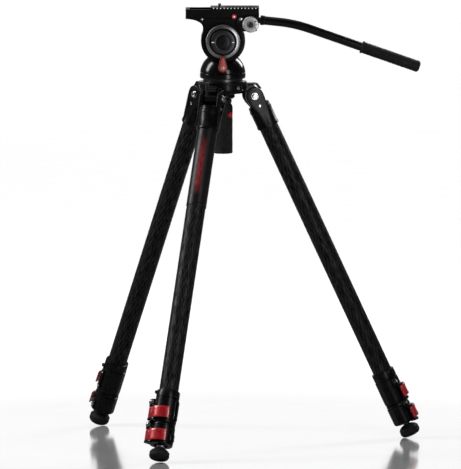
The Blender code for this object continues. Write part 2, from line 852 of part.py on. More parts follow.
def make_camera_plate(axis):
    bottom = PLATFORM_TOP - 0.0032
    ledge = PLATFORM_TOP + GAP
    lip = ledge + 0.0005
    section = [
        (-0.0207, bottom),
        (0.0207, bottom),
        (0.0184, ledge),
        (PLATE_HALF, lip),
        (PLATE_HALF, PLATE_TOP),
        (-PLATE_HALF, PLATE_TOP),
        (-PLATE_HALF, lip),
        (-0.0184, ledge),
    ]
    camera_plate = plate(section, *PLATE_X)
    place(camera_plate, axis, rotation=ALONG_X)
    pad_low = (0.0060, -0.0190, PLATE_TOP - 0.0010)
    pad_high = (0.0640, 0.0190, PLATE_TOP + 0.0005)
    pocket = box(
        (pad_low[0] - GAP, pad_low[1] - GAP, pad_low[2] - GAP),
        (pad_high[0] + GAP, pad_high[1] + GAP, pad_high[2] + 0.002),
    )
    place(pocket, axis)
    cut(camera_plate, pocket)
    head_top = PLATFORM_TOP + 0.0006
    head_hole_r = 0.0064
    hole = turned(
        [
            (0.0, 0.83),
            (CAMERA_SCREW_R + GAP, 0.83),
            (CAMERA_SCREW_R + GAP, head_top + GAP),
            (head_hole_r, head_top + GAP),
            (head_hole_r, 0.80),
            (0.0, 0.80),
        ],
        COARSE,
    )
    place(hole, axis, (CAMERA_SCREW_X, 0, 0))
    cut(camera_plate, hole)
    as_node(camera_plate, "camera_plate", "black_paint")

    pad = box(pad_low, pad_high)
    place(pad, axis)
    as_node(pad, "plate_pad", "rubber")

    screw = turned(
        [
            (0.0, CAMERA_SCREW_TOP),
            (CAMERA_SCREW_R - 0.0006, CAMERA_SCREW_TOP),
            (CAMERA_SCREW_R, CAMERA_SCREW_TOP - 0.0006),
            (CAMERA_SCREW_R, head_top),
            (0.0060, head_top),
            (0.0060, bottom + 0.0003),
            (0.0, bottom + 0.0003),
        ],
        COARSE,
    )
    place(screw, axis, (CAMERA_SCREW_X, 0, 0))
    as_node(screw, "camera_screw", "steel")


# ---- pan handle ----


def handle_path():
    """The handle's centre line in the XZ plane, with a rounded bend."""
    before = (HANDLE_START - HANDLE_BEND).normalized()
    end = GRIP_END - HANDLE_RUN * 0.006
    points = [HANDLE_START]
    bend_reach = 0.03
    for step in range(7):
        t = step / 6
        first = HANDLE_BEND + before * bend_reach * (1 - t)
        second = HANDLE_BEND + HANDLE_RUN * bend_reach * t
        points.append(first.lerp(second, t))
    points.append(end)
    return points


def make_handle(axis):
    rosette_at = (ROSETTE_X, 0, ROSETTE_Z)
    outline = [(0.0270, 0.8020), (0.0270, 0.7890), (0.0375, 0.7785)]
    outline += arc((0.0608, 0.7825), 0.0040, -90, 0, 3)
    mount = plate(outline + [(0.0648, 0.8020)], 0.0228, 0.0310)
    place(mount, axis, rotation=TO_NEAR)
    cheek = plate(
        [(0.0270, 0.8010), (0.0648, 0.8010)]
        + arc((0.0608, 0.8014), 0.0040, 0, 90, 3)
        + arc((0.0300, 0.8024), 0.0030, 90, 180, 3),
        0.0253,
        0.0310,
    )
    place(cheek, axis, rotation=TO_NEAR)
    join(mount, cheek)
    hole = rod(ROSETTE_HOLE, 0.02, 0.04)
    place(hole, axis, rosette_at, TO_NEAR)
    cut(mount, hole)
    as_node(mount, "handle_mount", "black_paint")

    rosette = ring(ROSETTE_R, ROSETTE_HOLE, 0.0313, 0.0343)
    place(rosette, axis, rosette_at, TO_NEAR)
    as_node(rosette, "rosette", "steel")

    clamp = rod(ROSETTE_R, 0.0346, 0.0390, MEDIUM)
    place(clamp, axis, rosette_at, TO_NEAR)
    slope = (HANDLE_BEND - HANDLE_START).normalized()
    angle = math.atan2(-slope.y, slope.x)
    frame = new_empty(
        "handle_start", axis, (HANDLE_START.x, HANDLE_Y, HANDLE_START.y), (0, angle, 0)
    )
    neck = box((-0.016, -0.0025, -0.0065), (-0.001, 0.0018, 0.0050))
    place(neck, frame)
    join(clamp, neck)
    socket = turned(
        [
            (0.0, -0.0006),
            (HANDLE_R + GAP, -0.0006),
            (HANDLE_R + GAP, 0.0055),
            (0.0096, 0.0055),
            (0.0096, -0.0028),
            (0.0, -0.0028),
        ]
    )
    place(socket, frame, rotation=(0, math.radians(90), 0))
    join(clamp, socket)
    hole = rod(ROSETTE_HOLE, 0.02, 0.05)
    place(hole, axis, rosette_at, TO_NEAR)
    cut(clamp, hole)
    as_node(clamp, "handle_clamp", "steel")

    bolt = turned(
        [
            (0.0, 0.0450),
            (0.0047, 0.0450),
            (0.0055, 0.0440),
            (0.0055, 0.0393),
            (0.0030, 0.0393),
            (0.0030, 0.0262),
            (0.0, 0.0262),
        ],
        COARSE,
    )
    place(bolt, axis, rosette_at, TO_NEAR)
    as_node(bolt, "rosette_bolt", "black_paint")

    path = handle_path()
    curve = bpy.data.curves.new("handle", "CURVE")
    curve.dimensions = "3D"
    curve.bevel_depth = HANDLE_R
    curve.bevel_resolution = 4
    curve.use_fill_caps = True
    spline = curve.splines.new("POLY")
    spline.points.add(len(path) - 1)
    for point, place_on in zip(spline.points, path):
        point.co = (place_on.x, HANDLE_Y, place_on.y, 1.0)
    handle = curve_to_mesh(curve)
    place(handle, axis)
    as_node(handle, "pan_handle", "black_paint")

    length = HAND_GRIP_LENGTH
    start = GRIP_END - HANDLE_RUN * length
    bore = HANDLE_R + GAP
    profile = [
        (0.0, length - 0.0055),
        (bore, length - 0.0055),
        (bore, 0.0),
        (0.0119, 0.0),
        (0.0119, 0.004),
        (HAND_GRIP_R, 0.005),
        (HAND_GRIP_R, length - 0.003),
        (HAND_GRIP_R - 0.003, length),
        (0.0, length),
    ]
    grip = turned(profile[::-1])
    turn = math.radians(90) + math.atan2(-HANDLE_RUN.y, HANDLE_RUN.x)
    place(grip, axis, (start.x, HANDLE_Y, start.y), (0, turn, 0))
    as_node(grip, "handle_grip", "rubber")


def main():
    axis = new_empty("tripod_axis", location=(AXIS_X, AXIS_Y, 0))
    tilt = new_empty("tilt_axis", axis, (TILT_X, 0, TILT_Z))
    make_spider(axis)
    for label, azimuth in LEG_AZIMUTHS.items():
        make_leg(label, azimuth, axis)
    make_half_ball(axis)
    make_clamp(axis)
    make_base_ring(axis)
    make_pan_base(axis, tilt)
    make_tilt_body(tilt)
    make_drag_control(tilt)
    make_platform(axis)
    make_camera_plate(axis)
    make_handle(axis)


main()
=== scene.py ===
"""Looks of the video tripod with a fluid head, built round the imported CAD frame."""
import json
import math

import bmesh
import bpy
from mathutils import Matrix, Vector


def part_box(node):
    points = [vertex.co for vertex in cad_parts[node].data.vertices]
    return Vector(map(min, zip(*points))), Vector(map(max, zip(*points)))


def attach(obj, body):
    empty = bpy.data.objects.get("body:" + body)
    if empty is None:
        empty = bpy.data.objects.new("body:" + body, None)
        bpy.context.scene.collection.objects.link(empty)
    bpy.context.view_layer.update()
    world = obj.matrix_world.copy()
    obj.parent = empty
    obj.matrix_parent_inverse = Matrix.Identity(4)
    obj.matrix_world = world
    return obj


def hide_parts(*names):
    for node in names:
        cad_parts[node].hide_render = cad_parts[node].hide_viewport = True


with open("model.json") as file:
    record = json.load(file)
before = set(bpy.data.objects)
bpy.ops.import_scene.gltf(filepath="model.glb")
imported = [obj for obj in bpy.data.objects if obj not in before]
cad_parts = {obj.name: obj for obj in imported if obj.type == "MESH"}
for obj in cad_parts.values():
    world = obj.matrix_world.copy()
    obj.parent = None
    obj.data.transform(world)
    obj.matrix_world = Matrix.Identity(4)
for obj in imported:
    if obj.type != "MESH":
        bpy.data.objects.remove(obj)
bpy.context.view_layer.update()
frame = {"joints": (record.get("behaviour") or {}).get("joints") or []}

# ---- places taken from the frame ----

SPIDER_LOW, SPIDER_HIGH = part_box("base_ring")
AXIS = Vector(((SPIDER_LOW[0] + SPIDER_HIGH[0]) / 2, (SPIDER_LOW[1] + SPIDER_HIGH[1]) / 2, 0))
JOINTS = {joint["name"]: joint for joint in frame["joints"]}

LEGS = ("front", "right", "left")
TUBE_OFFSET = 0.0023
PIVOT_R = 0.0575
PIVOT_Z = 0.654
BALL_Z = 0.683
TILT_X = 0.0005
TILT_Z = 0.759
ROSETTE_X = 0.0523
ROSETTE_Z = 0.7919
HANDLE_Y = -0.0365

FINE = 96
MEDIUM = 64
COARSE = 32


# ---- mesh tools: every one takes or gives a bmesh ----


def revolve(profile, steps=MEDIUM, shape=None):
    """Turns (radius, height) points round Z.  A profile that starts off the axis is a closed ring.
    shape(angle, radius, height) may change the radius, for knurls and threads."""
    work = bmesh.new()
    closed = profile[0][0] > 0 or profile[-1][0] > 0
    rings = []
    for r, z in profile:
        if r <= 0:
            rings.append([work.verts.new((0, 0, z))])
            continue
        ring = []
        for step in range(steps):
            angle = 2 * math.pi * step / steps
            radius = shape(angle, r, z) if shape else r
            ring.append(work.verts.new((radius * math.cos(angle), radius * math.sin(angle), z)))
        rings.append(ring)
    pairs = list(zip(rings, rings[1:]))
    if closed:
        pairs.append((rings[-1], rings[0]))
    for upper, lower in pairs:
        if len(upper) == 1 and len(lower) == 1:
            continue
        for step in range(steps):
            following = (step + 1) % steps
            corners = []
            for ring, order in ((upper, (step, following)), (lower, (following, step))):
                corners += [ring[0]] if len(ring) == 1 else [ring[i] for i in order]
            work.faces.new(corners)
    bmesh.ops.recalc_face_normals(work, faces=work.faces)
    return work


def extrude(outline, low, high):
    """A flat outline in XY, given thickness from low to high."""
    work = bmesh.new()
    bottom = [work.verts.new((x, y, low)) for x, y in outline]
    top = [work.verts.new((x, y, high)) for x, y in outline]
    work.faces.new(bottom[::-1])
    work.faces.new(top)
    for i in range(len(outline)):
        j = (i + 1) % len(outline)
        work.faces.new((bottom[i], bottom[j], top[j], top[i]))
    bmesh.ops.recalc_face_normals(work, faces=work.faces)
    return work


def block(low, high):
    work = bmesh.new()
    bmesh.ops.create_cube(work, size=1.0)
    size = Vector(high) - Vector(low)
    bmesh.ops.scale(work, vec=size, verts=work.verts)
    bmesh.ops.translate(work, vec=(Vector(high) + Vector(low)) / 2, verts=work.verts)
    return work


def drum(radius, low, high, steps=COARSE):
    return revolve([(0, high), (radius, high), (radius, low), (0, low)], steps)


def moved(work, matrix):
    bmesh.ops.transform(work, matrix=matrix, verts=work.verts)
    return work


def merged(*works):
    """One bmesh that holds several, without joining their surfaces."""
    total = bmesh.new()
    for work in works:
        mesh = bpy.data.meshes.new("merge")
        work.to_mesh(mesh)
        work.free()
        total.from_mesh(mesh)
        bpy.data.meshes.remove(mesh)
    return total


def linked(name, data):
    item = bpy.data.objects.new(name, data)
    bpy.context.scene.collection.objects.link(item)
    return item


def to_object(work, name="work"):
    mesh = bpy.data.meshes.new(name)
    work.to_mesh(mesh)
    work.free()
    return linked(name, mesh)


def baked(item, extra=()):
    """Applies an object's modifiers, removes it and its helpers, and gives the result."""
    bpy.context.view_layer.update()
    graph = bpy.context.evaluated_depsgraph_get()
    mesh = bpy.data.meshes.new_from_object(item.evaluated_get(graph))
    work = bmesh.new()
    work.from_mesh(mesh)
    bpy.data.meshes.remove(mesh)
    for used in (item, *extra):
        data = used.data
        bpy.data.objects.remove(used)
        bpy.data.meshes.remove(data)
    return work


def boolean(work, tools, operation):
    item = to_object(work)
    helpers = [to_object(tool) for tool in tools]
    for helper in helpers:
        modifier = item.modifiers.new("boolean", "BOOLEAN")
        modifier.operation = operation
        modifier.object = helper
    return baked(item, helpers)


def cut(work, *tools):
    return boolean(work, tools, "DIFFERENCE")


def join(work, *tools):
    return boolean(work, tools, "UNION")


def softened(work, width, segments=3, angle=35):
    """Rounds the edges that are sharper than an angle."""
    item = to_object(work)
    weld = item.modifiers.new("weld", "WELD")
    weld.merge_threshold = 0.000005
    modifier = item.modifiers.new("bevel", "BEVEL")
    modifier.width = width
    modifier.segments = segments
    modifier.angle_limit = math.radians(angle)
    return baked(item)


def arc(centre, radius, start, end, steps):
    """Points on a circle from a start to an end angle in degrees."""
    points = []
    for step in range(steps + 1):
        angle = math.radians(start + (end - start) * step / steps)
        points.append((centre[0] + radius * math.cos(angle), centre[1] + radius * math.sin(angle)))
    return points


def rounded_rectangle(x_low, x_high, y_low, y_high, radius, steps=6):
    points = arc((x_high - radius, y_high - radius), radius, 0, 90, steps)
    points += arc((x_low + radius, y_high - radius), radius, 90, 180, steps)
    points += arc((x_low + radius, y_low + radius), radius, 180, 270, steps)
    points += arc((x_high - radius, y_low + radius), radius, 270, 360, steps)
    return points


def hexagon(radius):
    corners = (math.radians(60 * k) for k in range(6))
    return [(radius * math.cos(corner), radius * math.sin(corner)) for corner in corners]


def both_sides(near, far):
    """The same stretch on the minus side and on the plus side of a middle plane, each as (low, high)."""
    return ((-far, -near), (near, far))


def sweep(points, radius, steps=COARSE, shape=None):
    """A solid rod along a path in the XZ plane.  shape(distance, angle) may change its radius."""
    work = bmesh.new()
    rings = []
    travelled = 0.0
    for i, point in enumerate(points):
        before = points[max(i - 1, 0)]
        after = points[min(i + 1, len(points) - 1)]
        if i:
            travelled += (point - points[i - 1]).length
        along = (after - before).normalized()
        side = Vector((0, 1, 0))
        up = along.cross(side)
        ring = []
        for step in range(steps):
            angle = 2 * math.pi * step / steps
            r = shape(travelled, angle) if shape else radius
            ring.append(work.verts.new(point + side * math.cos(angle) * r + up * math.sin(angle) * r))
        rings.append(ring)
    for first, second in zip(rings, rings[1:]):
        for step in range(steps):
            following = (step + 1) % steps
            work.faces.new((first[step], first[following], second[following], second[step]))
    work.faces.new(rings[0])
    work.faces.new(rings[-1])
    bmesh.ops.recalc_face_normals(work, faces=work.faces)
    return work


# ---- places ----


def local(origin, x_axis, y_axis, z_axis):
    matrix = Matrix((x_axis, y_axis, z_axis)).transposed().to_4x4()
    matrix.translation = Vector(origin)
    return matrix


UP = Vector((0, 0, 1))
HEAD = Matrix.Translation(AXIS)  # the tripod's own axis, heights from the floor


def leg_frame(label):
    """A leg's own frame: X outward, Z up the leg, origin on its pivot."""
    spread = JOINTS[label + "_leg_spread"]
    tangent = -Vector(spread["axis"])
    down = Vector(JOINTS[label + "_middle_slide"]["axis"])
    up = -down
    return local(spread["pos_m"], tangent.cross(up), tangent, up)


def arm_frame(label):
    """The level frame of a spider arm: X outward, origin on the tripod's axis at the floor."""
    tangent = -Vector(JOINTS[label + "_leg_spread"]["axis"])
    tangent.z = 0
    tangent.normalize()
    return HEAD @ local((0, 0, 0), tangent.cross(UP), tangent, UP)


# ---- materials ----


class Nodes:
    """A short way to write a material's nodes."""

    def __init__(self, name):
        self.material = bpy.data.materials.new(name)
        self.material.use_nodes = True
        self.tree = self.material.node_tree
        self.shader = self.tree.nodes["Principled BSDF"]

    def add(self, kind, inputs=None, **settings):
        node = self.tree.nodes.new(kind)
        for key, value in settings.items():
            setattr(node, key, value)
        for key, value in (inputs or {}).items():
            self.feed(node.inputs[key], value)
        return node

    def feed(self, socket, value):
        if isinstance(value, bpy.types.NodeSocket):
            self.tree.links.new(value, socket)
        else:
            socket.default_value = value

    def place(self, scale=(1, 1, 1), source="Object"):
        coordinates = self.add("ShaderNodeTexCoord")
        mapping = self.add("ShaderNodeMapping", {"Vector": coordinates.outputs[source], "Scale": scale})
        return mapping.outputs[0]

    def noise(self, scale, detail=3.0, roughness=0.5, vector=None):
        inputs = {"Scale": scale, "Detail": detail, "Roughness": roughness}
        inputs["Vector"] = vector if vector else self.place()
        return self.add("ShaderNodeTexNoise", inputs).outputs["Fac"]

    def ramp(self, value, stops):
        """A colour ramp; stops are (place, grey or colour)."""
        node = self.add("ShaderNodeValToRGB", {"Fac": value})
        elements = node.color_ramp.elements
        while len(elements) < len(stops):
            elements.new(0.5)
        for element, (where, colour) in zip(elements, stops):
            element.position = where
            if not isinstance(colour, tuple):
                colour = (colour, colour, colour)
            element.color = (*colour, 1.0)
        return node.outputs["Color"]

    def math(self, operation, first, second=0.0, third=0.0):
        node = self.add("ShaderNodeMath", {0: first, 1: second, 2: third}, operation=operation)
        return node.outputs[0]

    def mix(self, factor, first, second, blend="MIX"):
        node = self.add("ShaderNodeMix", data_type="RGBA", blend_type=blend)
        self.feed(node.inputs[0], factor)
        self.feed(node.inputs[6], first)
        self.feed(node.inputs[7], second)
        return node.outputs[2]

    def bump(self, height, strength, distance, normal=None):
        inputs = {"Height": height, "Strength": strength, "Distance": distance}
        if normal:
            inputs["Normal"] = normal
        return self.add("ShaderNodeBump", inputs).outputs[0]

    def worn(self, low=0.52, high=0.62):
        """1 on outer edges, broken up by noise."""
        geometry = self.add("ShaderNodeNewGeometry")
        edge = self.ramp(geometry.outputs["Pointiness"], [(low, 0.0), (high, 1.0)])
        patches = self.ramp(self.noise(180, 4), [(0.45, 0.0), (0.62, 1.0)])
        return self.mix(1.0, edge, patches, "MULTIPLY")

    def done(self, **sockets):
        for key, value in sockets.items():
            self.feed(self.shader.inputs[key.replace("_", " ")], value)
        return self.material


def painted(name, tone, rough_low, rough_high, grain=900, shine=0.16):
    """Satin paint over a casting: fine orange peel, uneven gloss, edges rubbed a little lighter."""
    nodes = Nodes(name)
    cloud = nodes.noise(35, 4)
    dark = tuple(channel * 0.75 for channel in tone)
    light = tuple(channel * 1.35 for channel in tone)
    colour = nodes.ramp(cloud, [(0.3, dark), (0.7, light)])
    rubbed = tuple(min(1.0, channel * 3.0 + 0.008) for channel in tone)
    colour = nodes.mix(nodes.worn(), colour, (*rubbed, 1.0))
    rough = nodes.ramp(nodes.noise(60, 5), [(0.3, rough_low), (0.75, rough_high)])
    peel = nodes.bump(nodes.noise(grain, 2), 0.12, 0.0003)
    return nodes.done(Base_Color=colour, Roughness=rough, Normal=peel, Specular_IOR_Level=shine)


def rubbery(name, tone, pitch=1500, depth=0.0003):
    nodes = Nodes(name)
    cloud = nodes.noise(50, 5)
    dark = tuple(channel * 0.7 for channel in tone)
    light = tuple(channel * 1.6 for channel in tone)
    colour = nodes.ramp(cloud, [(0.3, dark), (0.75, light)])
    rough = nodes.ramp(nodes.noise(140, 4), [(0.3, 0.62), (0.7, 0.86)])
    grain = nodes.bump(nodes.noise(pitch, 3, 0.7), 0.35, depth)
    return nodes.done(Base_Color=colour, Roughness=rough, Normal=grain, Specular_IOR_Level=0.2)


def metal(name, tone, rough_low, rough_high, stretch=(1, 1, 1), grain=700):
    """Bare or anodised metal with fine machining lines along one direction."""
    nodes = Nodes(name)
    lines = nodes.noise(grain, 3, 0.6, nodes.place(stretch))
    dark = tuple(channel * 0.8 for channel in tone)
    light = tuple(min(1, channel * 1.1) for channel in tone)
    colour = nodes.ramp(lines, [(0.25, dark), (0.75, light)])
    rough = nodes.ramp(nodes.noise(120, 4), [(0.3, rough_low), (0.7, rough_high)])
    brushed = nodes.bump(lines, 0.10, 0.0002)
    return nodes.done(Base_Color=colour, Roughness=rough, Metallic=1.0, Normal=brushed)


def red_enamel(name, dark, light):
    nodes = Nodes(name)
    cloud = nodes.noise(70, 4)
    colour = nodes.ramp(cloud, [(0.3, dark), (0.7, light)])
    colour = nodes.mix(nodes.worn(0.53, 0.66), colour, (0.55, 0.07, 0.07, 1.0))
    rough = nodes.ramp(nodes.noise(150, 4), [(0.3, 0.26), (0.7, 0.38)])
    peel = nodes.bump(nodes.noise(1100, 2), 0.08, 0.0002)
    gloss = {"Coat_Weight": 0.22, "Coat_Roughness": 0.12}
    return nodes.done(Base_Color=colour, Roughness=rough, Metallic=0.25, Normal=peel, **gloss)


TOW = 0.0021  # width of one carbon tow


def carbon(name):
    """Twill drawn out along the tube, read from UVs in metres round and along the tube."""
    nodes = Nodes(name)
    uv = nodes.add("ShaderNodeTexCoord").outputs["UV"]
    split = nodes.add("ShaderNodeSeparateXYZ", {0: uv})
    around, along = split.outputs[0], split.outputs[1]
    wander = nodes.noise(1.0, 2, 0.5, scaled_uv(nodes, uv, (60, 18, 1)))
    around = nodes.math("ADD", around, nodes.math("MULTIPLY", wander, 0.0026))
    u = nodes.math("DIVIDE", around, TOW)
    v = nodes.math("DIVIDE", along, TOW * 3.2)
    step = nodes.math("FLOORED_MODULO", nodes.math("ADD", nodes.math("FLOOR", u), nodes.math("FLOOR", v)), 3.0)
    warp = nodes.math("LESS_THAN", step, 1.5)
    across = nodes.math("ABSOLUTE", nodes.math("SUBTRACT", nodes.math("FRACT", u), 0.5))
    crown = nodes.ramp(across, [(0.22, 1.0), (0.5, 0.12)])
    fibres = nodes.noise(1.0, 2, 0.6, scaled_uv(nodes, uv, (9000, 300, 1)))
    tone = nodes.mix(warp, (0.0012, 0.0012, 0.0013, 1.0), (0.0125, 0.0125, 0.0130, 1.0))
    streaks = nodes.noise(1.0, 4, 0.65, scaled_uv(nodes, uv, (640, 55, 1)))
    streaks = nodes.ramp(streaks, [(0.38, 0.05), (0.64, 1.7)])
    tone = nodes.mix(1.0, tone, streaks, "MULTIPLY")
    tone = nodes.mix(0.6, tone, nodes.ramp(fibres, [(0.3, 0.5), (0.7, 1.4)]), "MULTIPLY")
    tone = nodes.mix(0.7, tone, crown, "MULTIPLY")
    height = nodes.bump(crown, 0.35, 0.00018)
    rough = nodes.ramp(fibres, [(0.3, 0.36), (0.7, 0.52)])
    gloss = nodes.math("MULTIPLY", streaks, 0.11)
    return nodes.done(Base_Color=tone, Roughness=rough, Normal=height, Specular_IOR_Level=gloss)


def wrap_skin(name):
    """Satin sleeve with a faded plain band down it."""
    nodes = Nodes(name)
    uv = nodes.add("ShaderNodeTexCoord").outputs["UV"]
    split = nodes.add("ShaderNodeSeparateXYZ", {0: uv})
    tone = nodes.ramp(nodes.noise(40, 4), [(0.3, 0.0018), (0.7, 0.0042)])
    faded = nodes.noise(1.0, 4, 0.7, scaled_uv(nodes, uv, (260, 90, 1)))
    faded = nodes.ramp(faded, [(0.34, 0.15), (0.62, 1.0)])
    mask = nodes.mix(1.0, stripe_mask(nodes, split.outputs[0], split.outputs[1]), faded, "MULTIPLY")
    tone = nodes.mix(mask, tone, (0.19, 0.016, 0.022, 1.0))
    rough = nodes.ramp(nodes.noise(90, 4), [(0.3, 0.34), (0.7, 0.46)])
    grain = nodes.bump(nodes.noise(1300, 2), 0.15, 0.0002)
    return nodes.done(Base_Color=tone, Roughness=rough, Normal=grain, Specular_IOR_Level=0.15)


def scaled_uv(nodes, uv, scale):
    return nodes.add("ShaderNodeMapping", {"Vector": uv, "Scale": scale}).outputs[0]


def stripe_mask(nodes, around, along):
    """A plain band down the outer side of a leg that fades out at both ends."""
    half_width = 0.0070
    centre = 0.0030
    off = nodes.math("ABSOLUTE", nodes.math("SUBTRACT", around, centre))
    side = nodes.ramp(nodes.math("DIVIDE", off, half_width * 2), [(0.30, 1.0), (0.5, 0.0)])
    ends = nodes.ramp(nodes.math("MULTIPLY", along, 4.0), [(0.31, 0.0), (0.46, 1.0), (0.70, 1.0), (0.79, 0.0)])
    return nodes.mix(1.0, side, ends, "MULTIPLY")


CAST = painted("black_casting", (0.0012, 0.0012, 0.0014), 0.25, 0.34, shine=0.11)
SATIN = painted("satin_black_plate", (0.0012, 0.0012, 0.0013), 0.42, 0.56, shine=0.07)
CAST_GLOSS = painted("gloss_black_casting", (0.0012, 0.0012, 0.0013), 0.14, 0.22, shine=0.19)
PLASTIC = painted("black_moulding", (0.0018, 0.0018, 0.0020), 0.30, 0.44, grain=1400, shine=0.13)
GRIP = rubbery("grip_rubber", (0.0030, 0.0030, 0.0032))
RUBBER = rubbery("foot_rubber", (0.0030, 0.0030, 0.0030), 1000)
TREAD = rubbery("foot_tread", (0.0030, 0.0030, 0.0030), 420, 0.0025)
STEEL = metal("bright_steel", (0.42, 0.42, 0.43), 0.18, 0.30)
SILVER = metal("silver_rosette", (0.40, 0.40, 0.40), 0.34, 0.50)
GREY_RING = metal("grey_anodised", (0.19, 0.19, 0.195), 0.26, 0.36, stretch=(1, 8, 1))
DARK_METAL = metal("dark_anodised", (0.045, 0.045, 0.047), 0.28, 0.40)
RED = red_enamel("red_enamel", (0.25, 0.002, 0.005), (0.38, 0.004, 0.010))
BUTTON_RED = red_enamel("red_button", (0.30, 0.012, 0.016), (0.42, 0.020, 0.026))
# The pan lever's red in two copies: a salmon one painted with the highlight on its face, and a darker one
# painted with the shade on its rim.
LEVER_RED_PAINTED_HIGHLIGHT = red_enamel("lever_red_painted_highlight", (0.36, 0.050, 0.045), (0.48, 0.085, 0.075))
LEVER_RED_PAINTED_SHADE = red_enamel("lever_red_painted_shade", (0.10, 0.003, 0.006), (0.16, 0.006, 0.009))
# White paint for the drag and plate marks. It is also used for a painted highlight on the release button's
# centre.
WHITE_MARKS_AND_HIGHLIGHT = painted("white_marks_and_painted_highlight", (0.75, 0.75, 0.74), 0.4, 0.55)
BRASS = metal("warm_screw", (0.52, 0.42, 0.27), 0.25, 0.4)
CARBON = carbon("carbon_twill")
WRAP = wrap_skin("satin_wrap")


# ---- making pieces ----


def add(name, work, matrix, material, body, nodes=(), smooth_angle=32):
    """Puts a finished mesh in the scene as one piece that rides on a body."""
    mesh = bpy.data.meshes.new(name)
    moved(work, matrix)
    work.to_mesh(mesh)
    work.free()
    if mesh.polygons:
        mesh.shade_smooth()
        mesh.set_sharp_from_angle(angle=math.radians(smooth_angle))
    mesh.materials.append(material)
    item = linked(name, mesh)
    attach(item, body)
    if nodes:
        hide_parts(*nodes)
    return item


def socket_screw(radius, height, hex_share=0.5):
    """A cap screw head with a hex socket, standing on Z = 0."""
    edge = radius * 0.14
    bevel = [(radius - edge, height), (radius - edge * 0.3, height - edge * 0.3), (radius, height - edge)]
    head = revolve([(0, height), *bevel, (radius, 0), (0, 0)], COARSE)
    return cut(head, extrude(hexagon(radius * hex_share), height * 0.45, height * 1.5))


TO_NEAR = Matrix.Rotation(math.radians(90), 4, "X")  # own Z to -Y, own Y to +Z
TO_FAR = Matrix.Rotation(math.radians(-90), 4, "X")
TO_OUTER = Matrix.Rotation(math.radians(90), 4, "Y")  # own Z to +X
ALONG_X = Matrix(((0, 0, 1, 0), (1, 0, 0, 0), (0, 1, 0, 0), (0, 0, 0, 1)))  # own X to +Y, Y to +Z


def shift(x=0.0, y=0.0, z=0.0):
    return Matrix.Translation((x, y, z))


def turn_z(degrees):
    return Matrix.Rotation(math.radians(degrees), 4, "Z")


# ---- legs, all built once in the leg's own frame ----

FOOT_S = 0.705001  # from the pivot down to the foot's centre
TUBE = shift(TUBE_OFFSET)
YOKE_END = -0.0652  # below the pivot
COLLAR_R = 0.0225
UPPER_R, MIDDLE_R, LOWER_R = 0.0180, 0.01575, 0.0135
TUBE_WALL = 0.0015
INNER_TUBE = 0.530  # length of the middle tube
LEVER_ANGLE = -52  # of a lever's pin round its tube
LEVER_PIN_R = 0.029
SLEEVE_END = -0.2120  # of the front leg's smooth sleeve

# heights above the foot's centre, and radii, of the two clamp collars
LOCKS = {
    "upper": {
        "top": 0.1225, "bottom": 0.0580, "lever_at": 0.0755, "groove": 0.1065,
        "socket_r": 0.0183, "depth": 0.034, "bore_r": 0.01605,
    },
    "lower": {
        "top": 0.0570, "bottom": 0.0165, "lever_at": 0.0310, "groove": 0.0520,
        "socket_r": 0.01605, "depth": 0.022, "bore_r": 0.0138,
    },
}


def along(up_from_foot):
    return up_from_foot - FOOT_S


def tube(radius, wall, low, high, steps=MEDIUM):
    """A tube whose UVs are metres round it from its outer side, and metres down from the pivot."""
    work = bmesh.new()
    layer = work.loops.layers.uv.new("UVMap")
    rings = []
    for r, z in ((radius, low), (radius, high), (radius - wall, high), (radius - wall, low)):
        ring = []
        for step in range(steps):
            angle = 2 * math.pi * step / steps - math.pi
            ring.append(work.verts.new((r * math.cos(angle), r * math.sin(angle), z)))
        rings.append((r, z, ring))
    for k in range(4):
        r_a, z_a, first = rings[k]
        r_b, z_b, second = rings[(k + 1) % 4]
        for step in range(steps):
            following = (step + 1) % steps
            face = work.faces.new((first[step], first[following], second[following], second[step]))
            left = (2 * math.pi * step / steps - math.pi) * radius
            right = (2 * math.pi * (step + 1) / steps - math.pi) * radius
            corners = ((left, -z_a), (right, -z_a), (right, -z_b), (left, -z_b))
            for loop, uv in zip(face.loops, corners):
                loop[layer].uv = uv
    bmesh.ops.recalc_face_normals(work, faces=work.faces)
    return work


def make_yoke():
    """The casting at the top of a leg: a sleeve with two turned grooves, and two ears on the pivot."""
    profile = [(0, -0.0187), (0.0145, -0.0187), (0.0186, -0.0197), (0.0205, -0.0212), (0.0205, -0.0222)]
    profile += [(0.0194, -0.0226), (0.0194, -0.0234), (0.0208, -0.0240), (0.0210, -0.0266)]
    profile += [(0.0199, -0.0270), (0.0199, -0.0278), (0.0214, -0.0285), (0.0215, -0.0330)]
    profile += [(0.0208, -0.0340), (0.0207, -0.0592), (0.0214, -0.0604), (0.0214, -0.0644)]
    profile += [(0.0208, YOKE_END), (0, YOKE_END)]
    sleeve = moved(revolve(profile, FINE), TUBE)
    outline = arc((0, 0), 0.017, 180, 0, 24)
    outline += [(0.0164, -0.010), (0.0139, -0.029), (0.0096, -0.0644), (-0.0046, -0.0644)]
    outline += [(-0.0092, -0.029), (-0.0158, -0.010)]
    ears = []
    for low, high in both_sides(0.0143, 0.0213):
        ear = softened(extrude(outline, low, high), 0.0011)
        ears.append(moved(ear, TO_NEAR))
    pockets = []
    pocket = [(0.0098, -0.0135), (0.0072, -0.0330), (-0.0030, -0.0330), (-0.0085, -0.0135)]
    for low, high in both_sides(0.0203, 0.030):
        pockets.append(moved(extrude(pocket, low, high), TO_NEAR))
        pockets.append(moved(drum(0.0076, low, high, MEDIUM), TO_NEAR))
    body = join(sleeve, *ears)
    socket = moved(drum(0.0183, -0.078, -0.0269, FINE), TUBE)
    hole = moved(drum(0.0043, -0.03, 0.03), TO_NEAR)
    return cut(body, *pockets, socket, hole)


def make_yoke_screws():
    screws = []
    for side in (TO_NEAR, TO_FAR):
        screws.append(moved(socket_screw(0.0025, 0.0013), shift(0.0008, 0, -0.0208) @ side @ shift(z=0.0201)))
    return merged(*screws)


